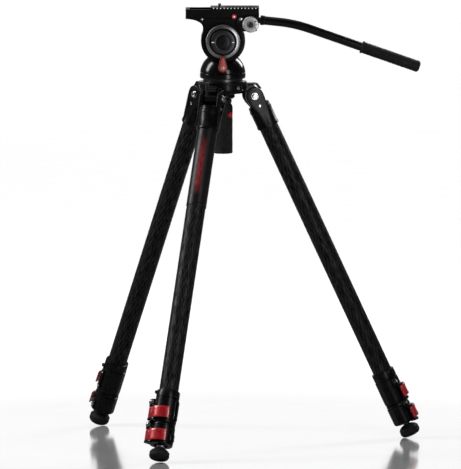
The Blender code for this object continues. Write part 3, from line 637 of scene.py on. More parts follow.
def make_pivot_bolt():
    pin = moved(drum(0.0040, -0.0206, 0.0206), TO_NEAR)
    pieces = [pin]
    for matrix in (TO_NEAR, TO_FAR):
        washer = revolve(
            [(0.0040, 0.0216), (0.0062, 0.0216), (0.0065, 0.0212), (0.0065, 0.0205), (0.0040, 0.0205)], MEDIUM
        )
        head = moved(socket_screw(0.0054, 0.0030), shift(z=0.0215))
        pieces += [moved(washer, matrix), moved(head, matrix)]
    return merged(*pieces)


def make_latch():
    """Own frame of an arm: X outward, Z up from the floor."""
    outline = [(0.0648, 0.6777), (0.0475, 0.6777)]
    outline += arc((0.0475, 0.6763), 0.0014, 100, 260, 10)
    outline += [(0.0475, 0.6749), (0.0628, 0.6749), (0.0697, 0.6667), (0.0720, 0.6685)]
    body = moved(softened(extrude(outline, -0.0109, 0.0109), 0.0005), TO_NEAR)
    down = Vector((0.0072, 0, -0.0092)).normalized()
    slope = local((0.0648, 0, 0.6777), down, Vector((0, 1, 0)), down.cross(Vector((0, 1, 0))))
    grooves = []
    for start, end in ((0.0019, 0.0043), (0.0061, 0.0090)):
        grooves.append(moved(block((start, -0.0090, -0.0010), (end, 0.0090, 0.002)), slope))
    for low, high in both_sides(0.0040, 0.0062):
        grooves.append(block((0.0500, low, 0.6770), (0.0622, high, 0.69)))
    return cut(body, *grooves)


def make_lock(top, bottom, lever_at, socket_r, depth, bore_r, groove):
    """A clamp collar in the tube's frame, with lugs for its lever and a rib on the other side."""
    high, low = along(top), along(bottom)
    shoulder = along(top - depth)
    mark = along(groove)
    profile = [(socket_r, high), (0.0206, high), (0.0215, high - 0.0004), (0.0219, high - 0.0014)]
    profile += [(0.0219, mark + 0.0012), (0.0210, mark + 0.0007), (0.0210, mark - 0.0007)]
    profile += [(COLLAR_R, mark - 0.0016), (COLLAR_R, low + 0.0048), (0.0216, low + 0.0042)]
    profile += [(0.0216, low + 0.0034), (0.0223, low + 0.0028), (0.0221, low + 0.0012), (0.0210, low)]
    profile += [(bore_r, low), (bore_r, shoulder), (socket_r, shoulder)]
    collar = revolve(profile, FINE)
    height = along(lever_at)
    slit = block((0.010, -0.0007, height - 0.0140), (0.030, 0.0007, height + 0.0185))
    moved(slit, turn_z(-60))
    window = moved(block((0.0212, -0.0105, height - 0.0112), (0.030, 0.0105, height + 0.0112)), turn_z(-46))
    collar = cut(collar, slit, window)
    pieces = [collar]
    lug = [(0.0195, -0.0058)] + arc((0.0288, 0), 0.0047, -90, 90, 14) + [(0.0195, 0.0058)]
    for level in (height + 0.0115, height - 0.0115 - 0.0045):
        pieces.append(moved(softened(extrude(lug, level, level + 0.0045), 0.0007), turn_z(LEVER_ANGLE)))
    boss = arc((0.0243, 0), 0.0066, -90, 90, 14) + [(0.0150, 0.0066), (0.0150, -0.0066)]
    # the clamp block above the lever, along the collar's outer side
    clamp = softened(extrude(boss, -0.0035, 0.0045), 0.0008)
    moved(clamp, Matrix.Rotation(math.radians(90), 4, "Y") @ turn_z(-90))
    pieces.append(moved(clamp, shift(0.0085, 0, height + 0.0220)))
    rib = softened(block((-0.0030, 0.019, low + 0.0062), (0.0030, 0.0256, high - 0.0205)), 0.0010)
    pieces.append(moved(rib, shift(0.004)))
    tab = softened(block((-0.004, -0.0236, high - 0.0060), (0.004, -0.0195, high - 0.0008)), 0.0007)
    pieces.append(moved(tab, shift(0.006)))
    knob = moved(drum(0.0034, 0.0, 0.0262, COARSE), turn_z(62) @ TO_OUTER)
    moved(knob, shift(z=high - 0.0135))
    pieces.append(knob)
    return merged(*pieces)


def make_lock_screws(sizes):
    """The bright screws of a lock, in the tube's frame."""
    low, high, height = (along(sizes[name]) for name in ("bottom", "top", "lever_at"))
    outward = shift(0.0128, -0.0246, height + 0.0220) @ TO_OUTER
    screws = [moved(socket_screw(0.0040, 0.0016, 0.62), outward)]
    seam = block((0.0108, 0.0212, low + 0.0075), (0.0114, 0.0219, high - 0.0220))
    screws.append(softened(seam, 0.0002))
    for level in (low + 0.0105, high - 0.0250):
        screws.append(moved(socket_screw(0.0019, 0.0006), shift(0.004, 0.0255, level) @ TO_FAR))
    pin = drum(0.0024, height - 0.0163, height + 0.0163, 24)
    screws.append(moved(pin, turn_z(LEVER_ANGLE) @ shift(0.0288)))
    return merged(*screws)


def make_lock_lever(lever_at):
    """A curved lever round the outer side of its lock, with a knuckle on its pin and a shallow panel."""
    pin = arc((0, 0), LEVER_PIN_R, LEVER_ANGLE, LEVER_ANGLE, 1)[0]
    outline = arc((0, 0), 0.0290, LEVER_ANGLE + 7, 20, 40)
    outline += arc((0, 0), 0.0288, 27, 33, 1)
    outline += arc((0, 0), 0.0264, 34, LEVER_ANGLE + 7, 44)
    outline += arc(pin, 0.0040, LEVER_ANGLE + 135, LEVER_ANGLE + 360, 22)
    half = 0.0108
    lever = softened(extrude(outline, -half, half), 0.0009)
    panel = extrude(arc((0, 0), 0.0320, -30, 12, 30) + arc((0, 0), 0.0285, 12, -30, 30), -0.0062, 0.0062)
    pin_hole = moved(drum(0.0026, -0.02, 0.02, 24), shift(*pin))
    lever = cut(lever, panel, pin_hole)
    return moved(lever, shift(z=along(lever_at)))


def make_foot():
    """A flattened rubber ball with a shallow tread, on a short stem that plugs the lower tube."""
    edge = 0.0078
    inner = 0.0112
    level = 0.0035
    width, rise = inner + edge, level + edge
    profile = [(0, 0.0318), (0.0117, 0.0318), (0.0117, 0.0187), (0.0050, 0.0187), (0.0050, 0.0128)]
    profile += [(0.0062, 0.0118)]
    for degrees in range(68, 6, -4):
        turn = math.radians(degrees)
        profile.append((width * math.cos(turn), rise * math.sin(turn)))
    for z in (0.0022, 0.0010, -0.0002, -0.0014, -0.0026):
        depth = 0.0004 if abs(z) < 0.002 else 0.0
        profile.append((width - depth, z))
    profile += arc((inner, -level), edge, -4, -90, 18)
    profile += [(0.0088, -rise), (0.0082, 0.0008 - rise), (0, 0.0008 - rise)]

    def tread(angle, r, z):
        if z < -0.004 and 0.012 < r < 0.0188:
            return r - 0.0003 * (0.5 + 0.5 * math.cos(angle * 24))
        return r

    return moved(revolve(profile, 144, tread), shift(z=along(0)))


def make_wrap():
    """The smooth sleeve round the top of the front leg's upper tube, with a rolled lower end."""
    work = tube(0.0189, 0.0008, SLEEVE_END, YOKE_END - 0.0004)
    profile = [(0.01805, -0.2122), (0.0187, -0.2122), (0.0190, -0.2130), (0.0190, -0.2158)]
    profile += [(0.0186, -0.2166), (0.01805, -0.2166)]
    return work, revolve(profile, MEDIUM)


def make_legs():
    yoke = make_yoke()
    bolt = make_pivot_bolt()
    latch = make_latch()
    yoke_screws = make_yoke_screws()
    locks = {part: make_lock(**sizes) for part, sizes in LOCKS.items()}
    screws = {part: make_lock_screws(sizes) for part, sizes in LOCKS.items()}
    levers = {part: make_lock_lever(sizes["lever_at"]) for part, sizes in LOCKS.items()}
    foot = make_foot()
    upper_end, middle_end = (along(sizes["top"] - sizes["depth"]) + 0.0003 for sizes in LOCKS.values())
    lower_end = along(0.0188)
    tubes = {
        "upper": tube(UPPER_R, TUBE_WALL, upper_end, -0.0272),
        "middle": tube(MIDDLE_R, TUBE_WALL, middle_end, middle_end + INNER_TUBE),
        "lower": tube(LOWER_R, TUBE_WALL, lower_end, lower_end + INNER_TUBE - 0.0045),
    }
    bodies = {"upper": "_leg", "middle": "_middle", "lower": "_lower"}
    lock_bodies = {"upper": "_leg", "lower": "_middle"}
    for label in LEGS:
        leg = leg_frame(label)
        centre = leg @ TUBE
        body = label + "_leg"
        add(label + "_yoke", yoke.copy(), leg, CAST, body, [label + "_leg_yoke"])
        add(label + "_bolt", bolt.copy(), leg, STEEL, body, [label + "_pivot_bolt"])
        tab, arm = label + "_latch", arm_frame(label)
        add(tab + "_tab", latch.copy(), arm, PLASTIC, tab, [label + "_angle_latch"])
        add(label + "_yoke_screws", yoke_screws.copy(), leg, STEEL, body)
        for part, work in tubes.items():
            name = label + "_" + part + "_tube"
            add(name + "_twill", work.copy(), centre, CARBON, label + bodies[part], [name])
        for part, lock_body in lock_bodies.items():
            name, lever = label + "_" + part, label + "_" + part + "_lever"
            rides = label + lock_body
            add(name + "_collar", locks[part].copy(), centre, CAST, rides, [name + "_lock"])
            add(name + "_screws", screws[part].copy(), centre, STEEL, rides)
            add(name + "_handle", levers[part].copy(), centre, RED, lever, [lever])
        add(label + "_pad", foot.copy(), centre, TREAD, label + "_lower", [label + "_foot"])
        profile = [(0.0051, 0.0162), (0.0070, 0.0160), (0.0074, 0.0152), (0.0066, 0.0126), (0.0051, 0.0124)]
        nut = revolve(profile, 48)
        at_foot = centre @ shift(z=along(0))
        add(label + "_stem_nut", nut, at_foot, STEEL, label + "_lower")

    centre = leg_frame("front") @ TUBE
    wrap, lip = make_wrap()
    add("front_wrap", wrap, centre, WRAP, "front_leg")
    add("front_wrap_lip", lip, centre, PLASTIC, "front_leg")


# ---- spider and bowl clamp, in the frame of the tripod's axis ----


def ball_arc(radius, r_start, r_end, steps=16):
    points = []
    for step in range(steps + 1):
        r = r_start + (r_end - r_start) * step / steps
        points.append((r, BALL_Z - math.sqrt(max(0.0, radius * radius - r * r))))
    return points


def make_spider():
    top = 0.6824
    profile = [(0.0375, top), (0.0437, top), (0.0446, top - 0.0003), (0.0450, top - 0.0012)]
    profile += [(0.0450, 0.6792), (0.0446, 0.6784), (0.0440, 0.6780), (0.0440, 0.6680), (0.0446, 0.6672)]
    profile += [(0.0450, 0.6662), (0.0446, 0.6644), (0.0410, 0.6605), (0.0275, 0.6605)]
    profile += ball_arc(0.0344, 0.0265, 0.013, 8)
    profile += [(0.013, 0.6635), (0.0319, 0.6635)]
    profile += ball_arc(0.0375, 0.0325, 0.03745, 10)

    def ribs(angle, r, z):
        if 0.0438 < r < 0.0442 and 0.667 < z < 0.6785:
            wave = math.cos(angle * 40)
            return r + (0.0008 if wave > 0.55 else 0.0)
        return r

    spider = revolve(profile, 320, ribs)
    pieces = [spider]
    for label in LEGS:
        to_arm = HEAD.inverted() @ arm_frame(label)
        outline = [(0.041, 0.6628), (0.0577, 0.6628), (0.0584, 0.6636), (0.0584, 0.6736), (0.0576, 0.6744)]
        arm = moved(extrude(outline + [(0.041, 0.6744)], -0.018, 0.018), TO_NEAR)
        tools = []
        for low, high in both_sides(0.0140, 0.027):
            relief = moved(drum(0.0177, low, high, FINE), TO_NEAR)
            tools.append(moved(relief, shift(PIVOT_R, 0, PIVOT_Z)))
        for low, high in both_sides(0.0171, 0.020):
            tools.append(block((0.0470, low, 0.6652), (0.0562, high, 0.6724)))
        arm = softened(cut(arm, *tools[:2]), 0.0007)
        arm = cut(arm, *tools[2:])
        lug = arc((0, 0), 0.0135, -180, 0, 30)
        lug += [(0.0135, 0.0045), (0.0004, 0.0187), (-0.0135, 0.0187)]
        lug = softened(extrude(lug, -0.0138, 0.0138), 0.0009)
        moved(lug, shift(PIVOT_R, 0, PIVOT_Z) @ TO_NEAR)
        pieces.append(moved(arm, to_arm))
        pieces.append(moved(lug, to_arm))
    return merged(*pieces)


AT_GRIP_LOCK = shift(z=0.6195) @ turn_z(45) @ TO_NEAR


def make_bowl_grip():
    profile = [(0, 0.5997), (0.0053, 0.5997), (0.0053, 0.6445)]
    profile += ball_arc(0.0390, 0.0053, 0.0164, 6)
    profile += [(0.0164, 0.6420), (0.0156, 0.6412), (0.0156, 0.6392), (0.0168, 0.6384), (0.0174, 0.6372)]
    profile += [(0.0174, 0.6360), (0.0182, 0.6345), (0.0186, 0.6330), (0.0186, 0.6215), (0.0181, 0.6212)]
    steps = 40
    for step in range(steps + 1):
        profile.append((0.0184, 0.6205 - (0.6205 - 0.5515) * step / steps))
    profile += [(0.0186, 0.5510), (0.0186, 0.5480), (0.0180, 0.5468), (0.0168, 0.5460), (0.0100, 0.5460)]
    profile += [(0.0095, 0.5466), (0, 0.5466)]

    def grooves(angle, r, z):
        if 0.5514 < z < 0.6206:
            return r - 0.0007 * max(0.0, math.cos(angle * 26)) ** 2
        return r

    grip = revolve(profile, 312, grooves)
    recess = moved(drum(0.0053, 0.0125, 0.03, COARSE), AT_GRIP_LOCK)
    return cut(grip, recess)


def make_bowl_and_clamp():
    add("spider_casting", make_spider(), HEAD, CAST, "spider", ["spider"])
    screws = []
    for azimuth in (40.7, 160.7, -79.3):
        angle = math.radians(azimuth)
        outward = Vector((math.sin(angle), -math.cos(angle), 0))
        place = local(outward * 0.0434 + Vector((0, 0, 0.6722)), UP, outward.cross(UP), outward)
        screws.append(moved(socket_screw(0.0034, 0.0018), place))
    add("bowl_screws", merged(*screws), HEAD, STEEL, "spider")
    start = math.sqrt(0.0369**2 - (BALL_Z - 0.669) ** 2)
    profile = [(0, 0.6877), (0.0369, 0.6877), (0.0369, BALL_Z)]
    profile += ball_arc(0.0369, 0.0368, start, 16)
    profile += [(0.0053, 0.669), (0.0053, 0.6793), (0, 0.6793)]
    add("ball_turned", revolve(profile, FINE), HEAD, DARK_METAL, "head_base", ["half_ball"])
    profile = [(0, 0.6790)]
    turns = 46
    for k in range(turns):
        z = 0.6786 - (0.6786 - 0.602) * k / turns
        profile += [(0.0050, z), (0.0046, z - 0.0008)]
    profile += [(0.0045, 0.6002), (0, 0.6000)]
    add("stud_threaded", revolve(profile, COARSE), HEAD, STEEL, "head_base", ["clamp_stud"])
    profile = ball_arc(0.0347, 0.012, 0.0225, 12) + ball_arc(0.0387, 0.0225, 0.012, 12)
    add("dish_turned", revolve(profile, FINE), HEAD, CAST, "level_dish", ["clamp_dish"])
    add("grip_ribbed", make_bowl_grip(), HEAD, GRIP, "bowl_clamp_grip", ["bowl_grip"])
    profile = [(0, 0.0235), (0.0020, 0.0235), (0.0031, 0.0231), (0.0040, 0.0222), (0.0048, 0.0207)]
    profile += [(0.0050, 0.0196), (0.0050, 0.0150), (0, 0.0150)]
    pin = revolve(profile, MEDIUM)
    add("grip_lock_tip", pin, HEAD @ AT_GRIP_LOCK, RED, "grip_lock", ["grip_lock"])


# ---- pan base ----


PAN_LOCK_Z = 0.711


def make_pan():
    profile = [(0, 0.715), (0.012, 0.715), (0.012, 0.6980), (0.0420, 0.6980), (0.0428, 0.6974)]
    profile += [(0.0430, 0.6966), (0.0430, 0.6905), (0.0426, 0.6900), (0.0426, 0.6892), (0.0424, 0.6884)]
    profile += [(0.0416, 0.6880), (0, 0.6880)]
    add("base_turned", revolve(profile, 128), HEAD, CAST_GLOSS, "head_base", ["base_ring"])

    bottom = 0.6986
    start = math.degrees(math.asin((bottom + 0.0008 - 0.695) / 0.043))
    profile = [(0, 0.738)] + arc((0, 0.695), 0.043, 89, start, 40)
    profile += [(0.0422, bottom), (0.0123, bottom), (0.0123, 0.716), (0, 0.716)]
    dome = revolve(profile, 128)
    pillar = moved(drum(0.030, -0.011, 0.011, FINE), shift(TILT_X, 0, TILT_Z) @ TO_NEAR)
    boss = moved(drum(0.0082, 0.030, 0.0441, MEDIUM), shift(z=PAN_LOCK_Z) @ TO_NEAR)
    dome = join(dome, pillar, boss)
    tools = []
    for low, high in both_sides(0.0113, 0.048):
        tools.append(moved(drum(0.0422, low, high, 128), shift(TILT_X, 0, TILT_Z) @ TO_NEAR))
    tools.append(moved(drum(0.0073, -0.03, 0.03), shift(TILT_X, 0, TILT_Z) @ TO_NEAR))
    dome = softened(cut(dome, *tools), 0.0006)
    add("pan_dome", dome, HEAD, CAST_GLOSS, "pan", ["pan_base"], 40)

    at_lever = HEAD @ shift(z=PAN_LOCK_Z) @ TO_NEAR
    outline = arc((0, 0), 0.0085, 160, 380, 40) + arc((0, 0.0184), 0.0042, 15, 165, 20)
    lever = softened(extrude(outline, 0.0445, 0.0486), 0.0011)
    inset = arc((0, 0), 0.0069, 162, 378, 36) + arc((0, 0.0178), 0.0027, 15, 165, 16)
    lever = cut(lever, extrude(inset, 0.0478, 0.06))
    hub = revolve([(0, 0.0487), (0.0046, 0.0487), (0.0052, 0.0483), (0.0054, 0.0472), (0, 0.0472)], MEDIUM)
    # Painted shade and highlight: the lever's body is a darkened red, and its inset panel and hub a lighter
    # salmon red.
    add("pan_lever_cast", lever, at_lever, LEVER_RED_PAINTED_SHADE, "pan_lock", ["pan_lock_lever"])
    panel = arc((0, 0), 0.0061, 162, 378, 36) + arc((0, 0.0172), 0.0019, 15, 165, 16)
    panel = softened(extrude(panel, 0.0474, 0.0483), 0.0003)
    add("pan_lever_panel", merged(panel, hub), at_lever, LEVER_RED_PAINTED_HIGHLIGHT, "pan_lock")
    screw = moved(socket_screw(0.0030, 0.0017), shift(z=0.0487))
    shank = drum(0.0020, 0.040, 0.0490, 24)
    add("pan_lever_screw", merged(screw, shank), at_lever, BRASS, "pan", ["lever_screw"])


# ---- tilt body ----


def flare_points(end, waist, shoulder, top, steps=20):
    side = math.copysign(1, end)
    points = []
    for step in range(steps + 1):
        angle = math.radians(90 * step / steps)
        x = end - side * (abs(end) - waist) * math.cos(angle)
        points.append((x, shoulder + (top - 0.0015 - shoulder) * math.sin(angle)))
    points.append((end, top))
    return points


def make_tilt():
    neck_angle = 24.4
    disc = arc((0, 0), 0.0415, 180 - neck_angle, 360 + neck_angle, 90)
    waist, shoulder = 0.0378, 0.026
    top = 0.8025 - TILT_Z
    outline = disc + [(waist, 0.0190)]
    outline += flare_points(0.0677, waist, shoulder, top)
    outline += flare_points(-0.0703, waist, shoulder, top)[::-1]
    outline.append((-waist, 0.0190))
    body = softened(extrude(outline, -0.0225, 0.0225), 0.0013, angle=40)
    slot = [
        drum(0.0306, -0.0116, 0.0116, FINE),
        block((-0.05, -0.05, -0.0116), (0.05, 0.015, 0.0116)),
        drum(0.0073, -0.03, 0.03),
    ]
    groove = revolve([(0.0338, 0.0218), (0.0338, 0.030), (0.0345, 0.030), (0.0345, 0.0218)], 128)
    body = cut(body, *slot, groove)
    at_tilt = HEAD @ shift(TILT_X, 0, TILT_Z) @ TO_NEAR
    add("tilt_casting", body, at_tilt, CAST, "tilt", ["tilt_body"], 40)
    axle = drum(0.007, -0.022, 0.022, MEDIUM)
    add("tilt_axle_turned", axle, at_tilt, STEEL, "tilt", ["tilt_axle"])

    def knurl(angle, r, z):
        if r > 0.0317 and 0.0262 < z < 0.0345:
            return r - 0.0004 * (0.5 + 0.5 * math.cos(angle * 90))
        return r

    profile = [(0.0256, 0.0356), (0.0261, 0.0360), (0.0265, 0.0359), (0.0312, 0.0346), (0.0319, 0.0342)]
    profile += [(0.0322, 0.0336)]
    profile += [(0.0322, 0.0262), (0.0313, 0.0250), (0.0291, 0.0229), (0.0256, 0.0229)]
    ring = revolve(profile, 720, knurl)
    add("drag_ring_knurled", ring, at_tilt, GREY_RING, "drag", ["drag_ring"])
    profile = [(0.0233, 0.0335), (0.0255, 0.0335), (0.0255, 0.0232), (0.0233, 0.0232)]
    add("drag_ring_liner", revolve(profile, FINE), at_tilt, PLASTIC, "drag")

    profile = [(0, 0.0449), (0.0040, 0.0449), (0.0046, 0.0455), (0.0126, 0.0453), (0.0136, 0.0447)]
    profile += [(0.0138, 0.0432), (0.0219, 0.0432), (0.0222, 0.0440), (0.0227, 0.0434), (0.0227, 0.0228)]
    profile += [(0, 0.0228)]
    add("drag_cap_moulded", revolve(profile, FINE), at_tilt, PLASTIC, "tilt", ["drag_cap"])
    profile = [(0.0141, 0.0434), (0.0141, 0.0451), (0.0148, 0.0453), (0.0216, 0.0441), (0.0216, 0.0434)]
    add("drag_cap_band", revolve(profile, 128), at_tilt, DARK_METAL, "tilt")
    marks = [
        softened(block((-0.0212, -0.0007, 0.0440), (-0.0168, 0.0007, 0.0455)), 0.0002),
        softened(block((0.0168, -0.0007, 0.0440), (0.0212, 0.0007, 0.0455)), 0.0002),
    ]
    add("drag_marks", merged(*marks), at_tilt, WHITE_MARKS_AND_HIGHLIGHT, "tilt")

    profile = [(0, 0.0300), (0.0070, 0.0300), (0.0076, 0.0306), (0.0200, 0.0310), (0.0222, 0.0304)]
    profile += [(0.0240, 0.0290), (0.0245, 0.0272), (0.0245, 0.0228), (0, 0.0228)]
    at_far = HEAD @ shift(TILT_X, 0, TILT_Z) @ TO_FAR
    add("side_cap_moulded", revolve(profile, FINE), at_far, PLASTIC, "tilt", ["side_cap"])
    screws = []
    for azimuth in (90, 210, 330):
        screws.append(moved(socket_screw(0.0022, 0.0010), turn_z(azimuth) @ shift(0.0150, 0, 0.0304)))
    add("side_cap_screws", merged(*screws), at_far, STEEL, "tilt")


# ---- platform, camera plate ----


def make_platform():
    low, high = 0.8028, 0.8190
    outline = rounded_rectangle(-0.0698, 0.0682, -0.0250, 0.0250, 0.0030)
    platform = softened(extrude(outline, low, high), 0.0009)
    floor = high - 0.0036
    above = high + 0.002
    dovetail = [(-0.0211, floor), (0.0211, floor), (0.0178, above), (-0.0178, above)]
    channel = extrude(dovetail, -0.062, 0.08)
    platform = cut(platform, moved(channel, ALONG_X))
    add("platform_cast", platform, HEAD, SATIN, "tilt", ["platform"], 40)
    small = [
        moved(socket_screw(0.0022, 0.0010), shift(-0.0394, -0.0222, 0.8008) @ TO_NEAR),
        moved(socket_screw(0.0020, 0.0003), shift(-0.0560, 0, 0.8152)),
        moved(socket_screw(0.0020, 0.0003), shift(-0.0400, 0, 0.8152)),
    ]
    add("platform_screws", merged(*small), HEAD, STEEL, "tilt")

    profile = [(0, 0.0300), (0.0021, 0.0300), (0.0026, 0.0304), (0.0034, 0.0305), (0.0042, 0.0301)]
    profile += [(0.0045, 0.0294)]
    profile += [(0.0045, 0.0274), (0.0020, 0.0274), (0.0020, 0.0224), (0, 0.0224)]
    button = revolve(profile, MEDIUM)
    at_button = HEAD @ shift(0.0217, 0, 0.8061) @ TO_NEAR
    replaced = ["plate_release_button"]
    add("release_button", button, at_button, BUTTON_RED, "release_button", replaced)
    # Painted highlight: a small white disc on the button's top stands in for the light's reflection there.
    centre = revolve([(0, 0.03055), (0.0012, 0.0305), (0.0018, 0.0302), (0.0018, 0.0290), (0, 0.0290)], COARSE)
    add("release_button_painted_highlight", centre, at_button, WHITE_MARKS_AND_HIGHLIGHT, "release_button")
    profile = [(0, 0.0378), (0.0058, 0.0380), (0.0072, 0.0376), (0.0080, 0.0368), (0.0080, 0.0265)]
    profile += [(0.0026, 0.0265), (0.0026, 0.0210), (0, 0.0210)]

    def flutes(angle, r, z):
        return r - 0.0005 * max(0.0, math.cos(angle * 12)) if r > 0.0075 and z < 0.037 else r

    knob = revolve(profile, 144, flutes)
    wing = softened(extrude(rounded_rectangle(-0.004, 0.026, -0.004, 0.004, 0.0035), 0.0315, 0.0365), 0.0011)
    at_knob = HEAD @ shift(0.010, 0, 0.8095) @ TO_FAR
    knob = merged(knob, wing)
    add("lock_knob_moulded", knob, at_knob, PLASTIC, "lock_knob", ["plate_lock_knob"])


def make_plate():
    bottom, lip, top = 0.8158, 0.8198, 0.8225
    x_low, x_high = -0.0230, 0.0682
    rail = extrude([(-0.0207, bottom), (0.0207, bottom), (0.0184, lip), (-0.0184, lip)], x_low, x_high)
    rail = moved(rail, ALONG_X)
    slab = softened(extrude(rounded_rectangle(x_low, x_high, -0.0230, 0.0230, 0.0022), lip, top), 0.0005)
    teeth = [x_low + 0.0057 + 0.0066 * k for k in range(13)]
    tools = []
    for x in teeth:
        for low_y, high_y in both_sides(0.0219, 0.0260):
            tools.append(block((x - 0.0015, low_y, lip - 0.002), (x + 0.0015, high_y, top + 0.002)))
    notches = merged(*tools)
    pocket = block((0.0057, -0.0193, top - 0.0013), (0.0643, 0.0193, top + 0.002))
    slab = cut(slab, notches, pocket)
    slab = cut(slab, extrude(rounded_rectangle(-0.0092, -0.0024, -0.0034, 0.0034, 0.0033), 0.81, 0.83))
    rail = cut(rail, extrude(rounded_rectangle(-0.0122, 0.0006, -0.0064, 0.0064, 0.006), 0.80, 0.83))
    add("plate_machined", merged(slab, rail), HEAD, SATIN, "plate", ["camera_plate"])
    dots = []
    for x in teeth:
        dots.append(moved(drum(0.0011, 0.0212, 0.0228, 16), shift(x, 0, 0.8212) @ TO_NEAR))
    add("plate_dots", merged(*dots), HEAD, WHITE_MARKS_AND_HIGHLIGHT, "plate")
    pad = softened(block((0.0060, -0.0190, 0.8214), (0.0640, 0.0190, 0.8226)), 0.0003)
    strips = []
    for k in range(18):
        x = 0.0070 + 0.00315 * k
        strips.append(softened(block((x, -0.0184, 0.8223), (x + 0.0020, 0.0184, 0.8230)), 0.0002))
    add("pad_ribbed", merged(pad, *strips), HEAD, RUBBER, "plate", ["plate_pad"])

    profile = [(0, 0.8285), (0.0023, 0.8285), (0.0027, 0.8282)]
    for k in range(6):
        z = 0.8278 - 0.00127 * k
        profile += [(0.0031, z), (0.0027, z - 0.00063)]
    profile += [(0.0030, 0.8201), (0.0060, 0.8195), (0.0060, 0.8161), (0, 0.8161)]
    screw = revolve(profile, COARSE)
    at_screw = HEAD @ shift(-0.0058)
    add("camera_screw_cut", screw, at_screw, DARK_METAL, "camera_screw", ["camera_screw"])


# ---- pan handle ----


def make_handle():
    at_rosette = HEAD @ shift(ROSETTE_X, 0, ROSETTE_Z) @ TO_NEAR
    outline = [(0.0270, 0.8020), (0.0270, 0.7890), (0.0375, 0.7785)]
    outline += arc((0.0608, 0.7825), 0.0040, -90, 0, 10) + [(0.0648, 0.8020)]
    cheek = [(0.0270, 0.8010), (0.0648, 0.8010)] + arc((0.0608, 0.8014), 0.0040, 0, 90, 10)
    cheek += arc((0.0300, 0.8024), 0.0030, 90, 180, 10)
    mount = join(extrude(outline, 0.0228, 0.0310), extrude(cheek, 0.0253, 0.0310))
    mount = softened(mount, 0.0011)
    hole = moved(drum(0.0033, 0.02, 0.04), shift(ROSETTE_X, ROSETTE_Z))
    mount = cut(mount, hole)
    add("mount_cast", mount, HEAD @ TO_NEAR, SATIN, "tilt", ["handle_mount"], 40)
    hexes = moved(socket_screw(0.0030, 0.0016), shift(0.0334, 0.8020, 0.0308))
    add("mount_screw", hexes, HEAD @ TO_NEAR, STEEL, "tilt")

    def teeth(angle, r, z):
        if r > 0.0135:
            return r - 0.0009 * (0.5 + 0.5 * math.cos(angle * 24))
        return r

    profile = [(0.0033, 0.0343), (0.0130, 0.0343), (0.0146, 0.0341), (0.0154, 0.0336), (0.0154, 0.0318)]
    profile += [(0.0148, 0.0313), (0.0033, 0.0313)]
    rosette = revolve(profile, 360, teeth)
    add("rosette_toothed", rosette, at_rosette, SILVER, "tilt", ["rosette"])

    profile = [(0, 0.0382), (0.0070, 0.0382), (0.0078, 0.0388), (0.0128, 0.0390), (0.0144, 0.0386)]
    profile += [(0.0154, 0.0378), (0.0154, 0.0352), (0.0148, 0.0346), (0, 0.0346)]
    disc = revolve(profile, 360, teeth)
    dimples = []
    for k in range(10):
        dimples.append(moved(drum(0.0015, 0.0374, 0.045, 16), turn_z(36 * k) @ shift(0.0110)))
    disc = cut(disc, merged(*dimples))
    add("clamp_disc", disc, at_rosette, SILVER, "handle")

    start = Vector((0.0730, 0.8003))
    bend = Vector((0.1345, 0.7940))
    tip = Vector((0.3695, 0.7118))
    slope = (bend - start).normalized()
    run = (tip - bend).normalized()
    angle = math.atan2(-slope.y, slope.x)
    at_start = HEAD @ shift(start.x, HANDLE_Y, start.y) @ Matrix.Rotation(angle, 4, "Y")
    neck = softened(block((-0.0160, -0.0010, -0.0063), (-0.0030, 0.0018, 0.0049)), 0.0006)
    knuckle = softened(block((-0.0058, -0.0024, -0.0063), (-0.0010, 0.0017, 0.0049)), 0.0008)
    profile = [(0, -0.0028), (0.0080, -0.0028), (0.0090, -0.0021), (0.0092, -0.0010), (0.0092, 0.0030)]
    profile += [(0.0088, 0.0034), (0.0091, 0.0039), (0.0090, 0.0053), (0.0085, 0.0055), (0.0085, -0.0006)]
    profile += [(0, -0.0006)]
    socket = moved(revolve(profile, MEDIUM), TO_OUTER)
    clamp = merged(neck, knuckle, socket)
    add("clamp_socket", clamp, at_start, CAST, "handle", ["handle_clamp"])

    profile = [(0, 0.0450), (0.0020, 0.0450), (0.0046, 0.0449), (0.0055, 0.0441), (0.0055, 0.0384)]
    profile += [(0.0030, 0.0384), (0.0030, 0.0262), (0, 0.0262)]
    bolt = revolve(profile, MEDIUM)
    bolt = cut(bolt, extrude(hexagon(0.0022), 0.0425, 0.05))
    add("rosette_bolt_head", bolt, at_rosette, DARK_METAL, "rosette_bolt", ["rosette_bolt"])

    points = [start]
    reach = 0.03
    steps = 24
    for step in range(steps + 1):
        t = step / steps
        first = bend - slope * reach * (1 - t)
        second = bend + run * reach * t
        points.append(first.lerp(second, t))
    points.append(tip - run * 0.006)
    path = [Vector((p.x, HANDLE_Y, p.y)) for p in points]
    rod = sweep(path, 0.0082, MEDIUM)
    add("handle_rod", rod, HEAD, CAST_GLOSS, "handle", ["pan_handle"])

    length = 0.116
    inner = 0.0085
    profile = [(inner, 0.0), (0.0108, 0.0), (0.0117, 0.0006), (0.0119, 0.0026), (0.0115, 0.0038)]
    profile += [(0.0103, 0.0046)]
    rib = [(0.0109, 0.0), (0.0110, 0.0007), (0.0109, 0.0016), (0.0104, 0.0021), (0.0104, 0.0026)]
    z = 0.0052
    while z < length - 0.012:
        profile += [(r, z + rise) for r, rise in rib]
        z += 0.0031
    for k in range(9):
        turn = math.radians(90 * k / 8)
        profile.append((0.0110 - 0.0060 * (1 - math.cos(turn)), length - 0.0060 + 0.0060 * math.sin(turn)))
    profile += [(0, length), (0, length - 0.0055), (inner, length - 0.0055)]
    along_run = local(
        (tip.x - run.x * length, HANDLE_Y, tip.y - run.y * length),
        Vector((0, 1, 0)),
        Vector((run.x, 0, run.y)).cross(Vector((0, 1, 0))),
        Vector((run.x, 0, run.y)),
    )
    add("grip_moulded", revolve(profile, MEDIUM), HEAD @ along_run, GRIP, "handle", ["handle_grip"])


# ---- stage ----


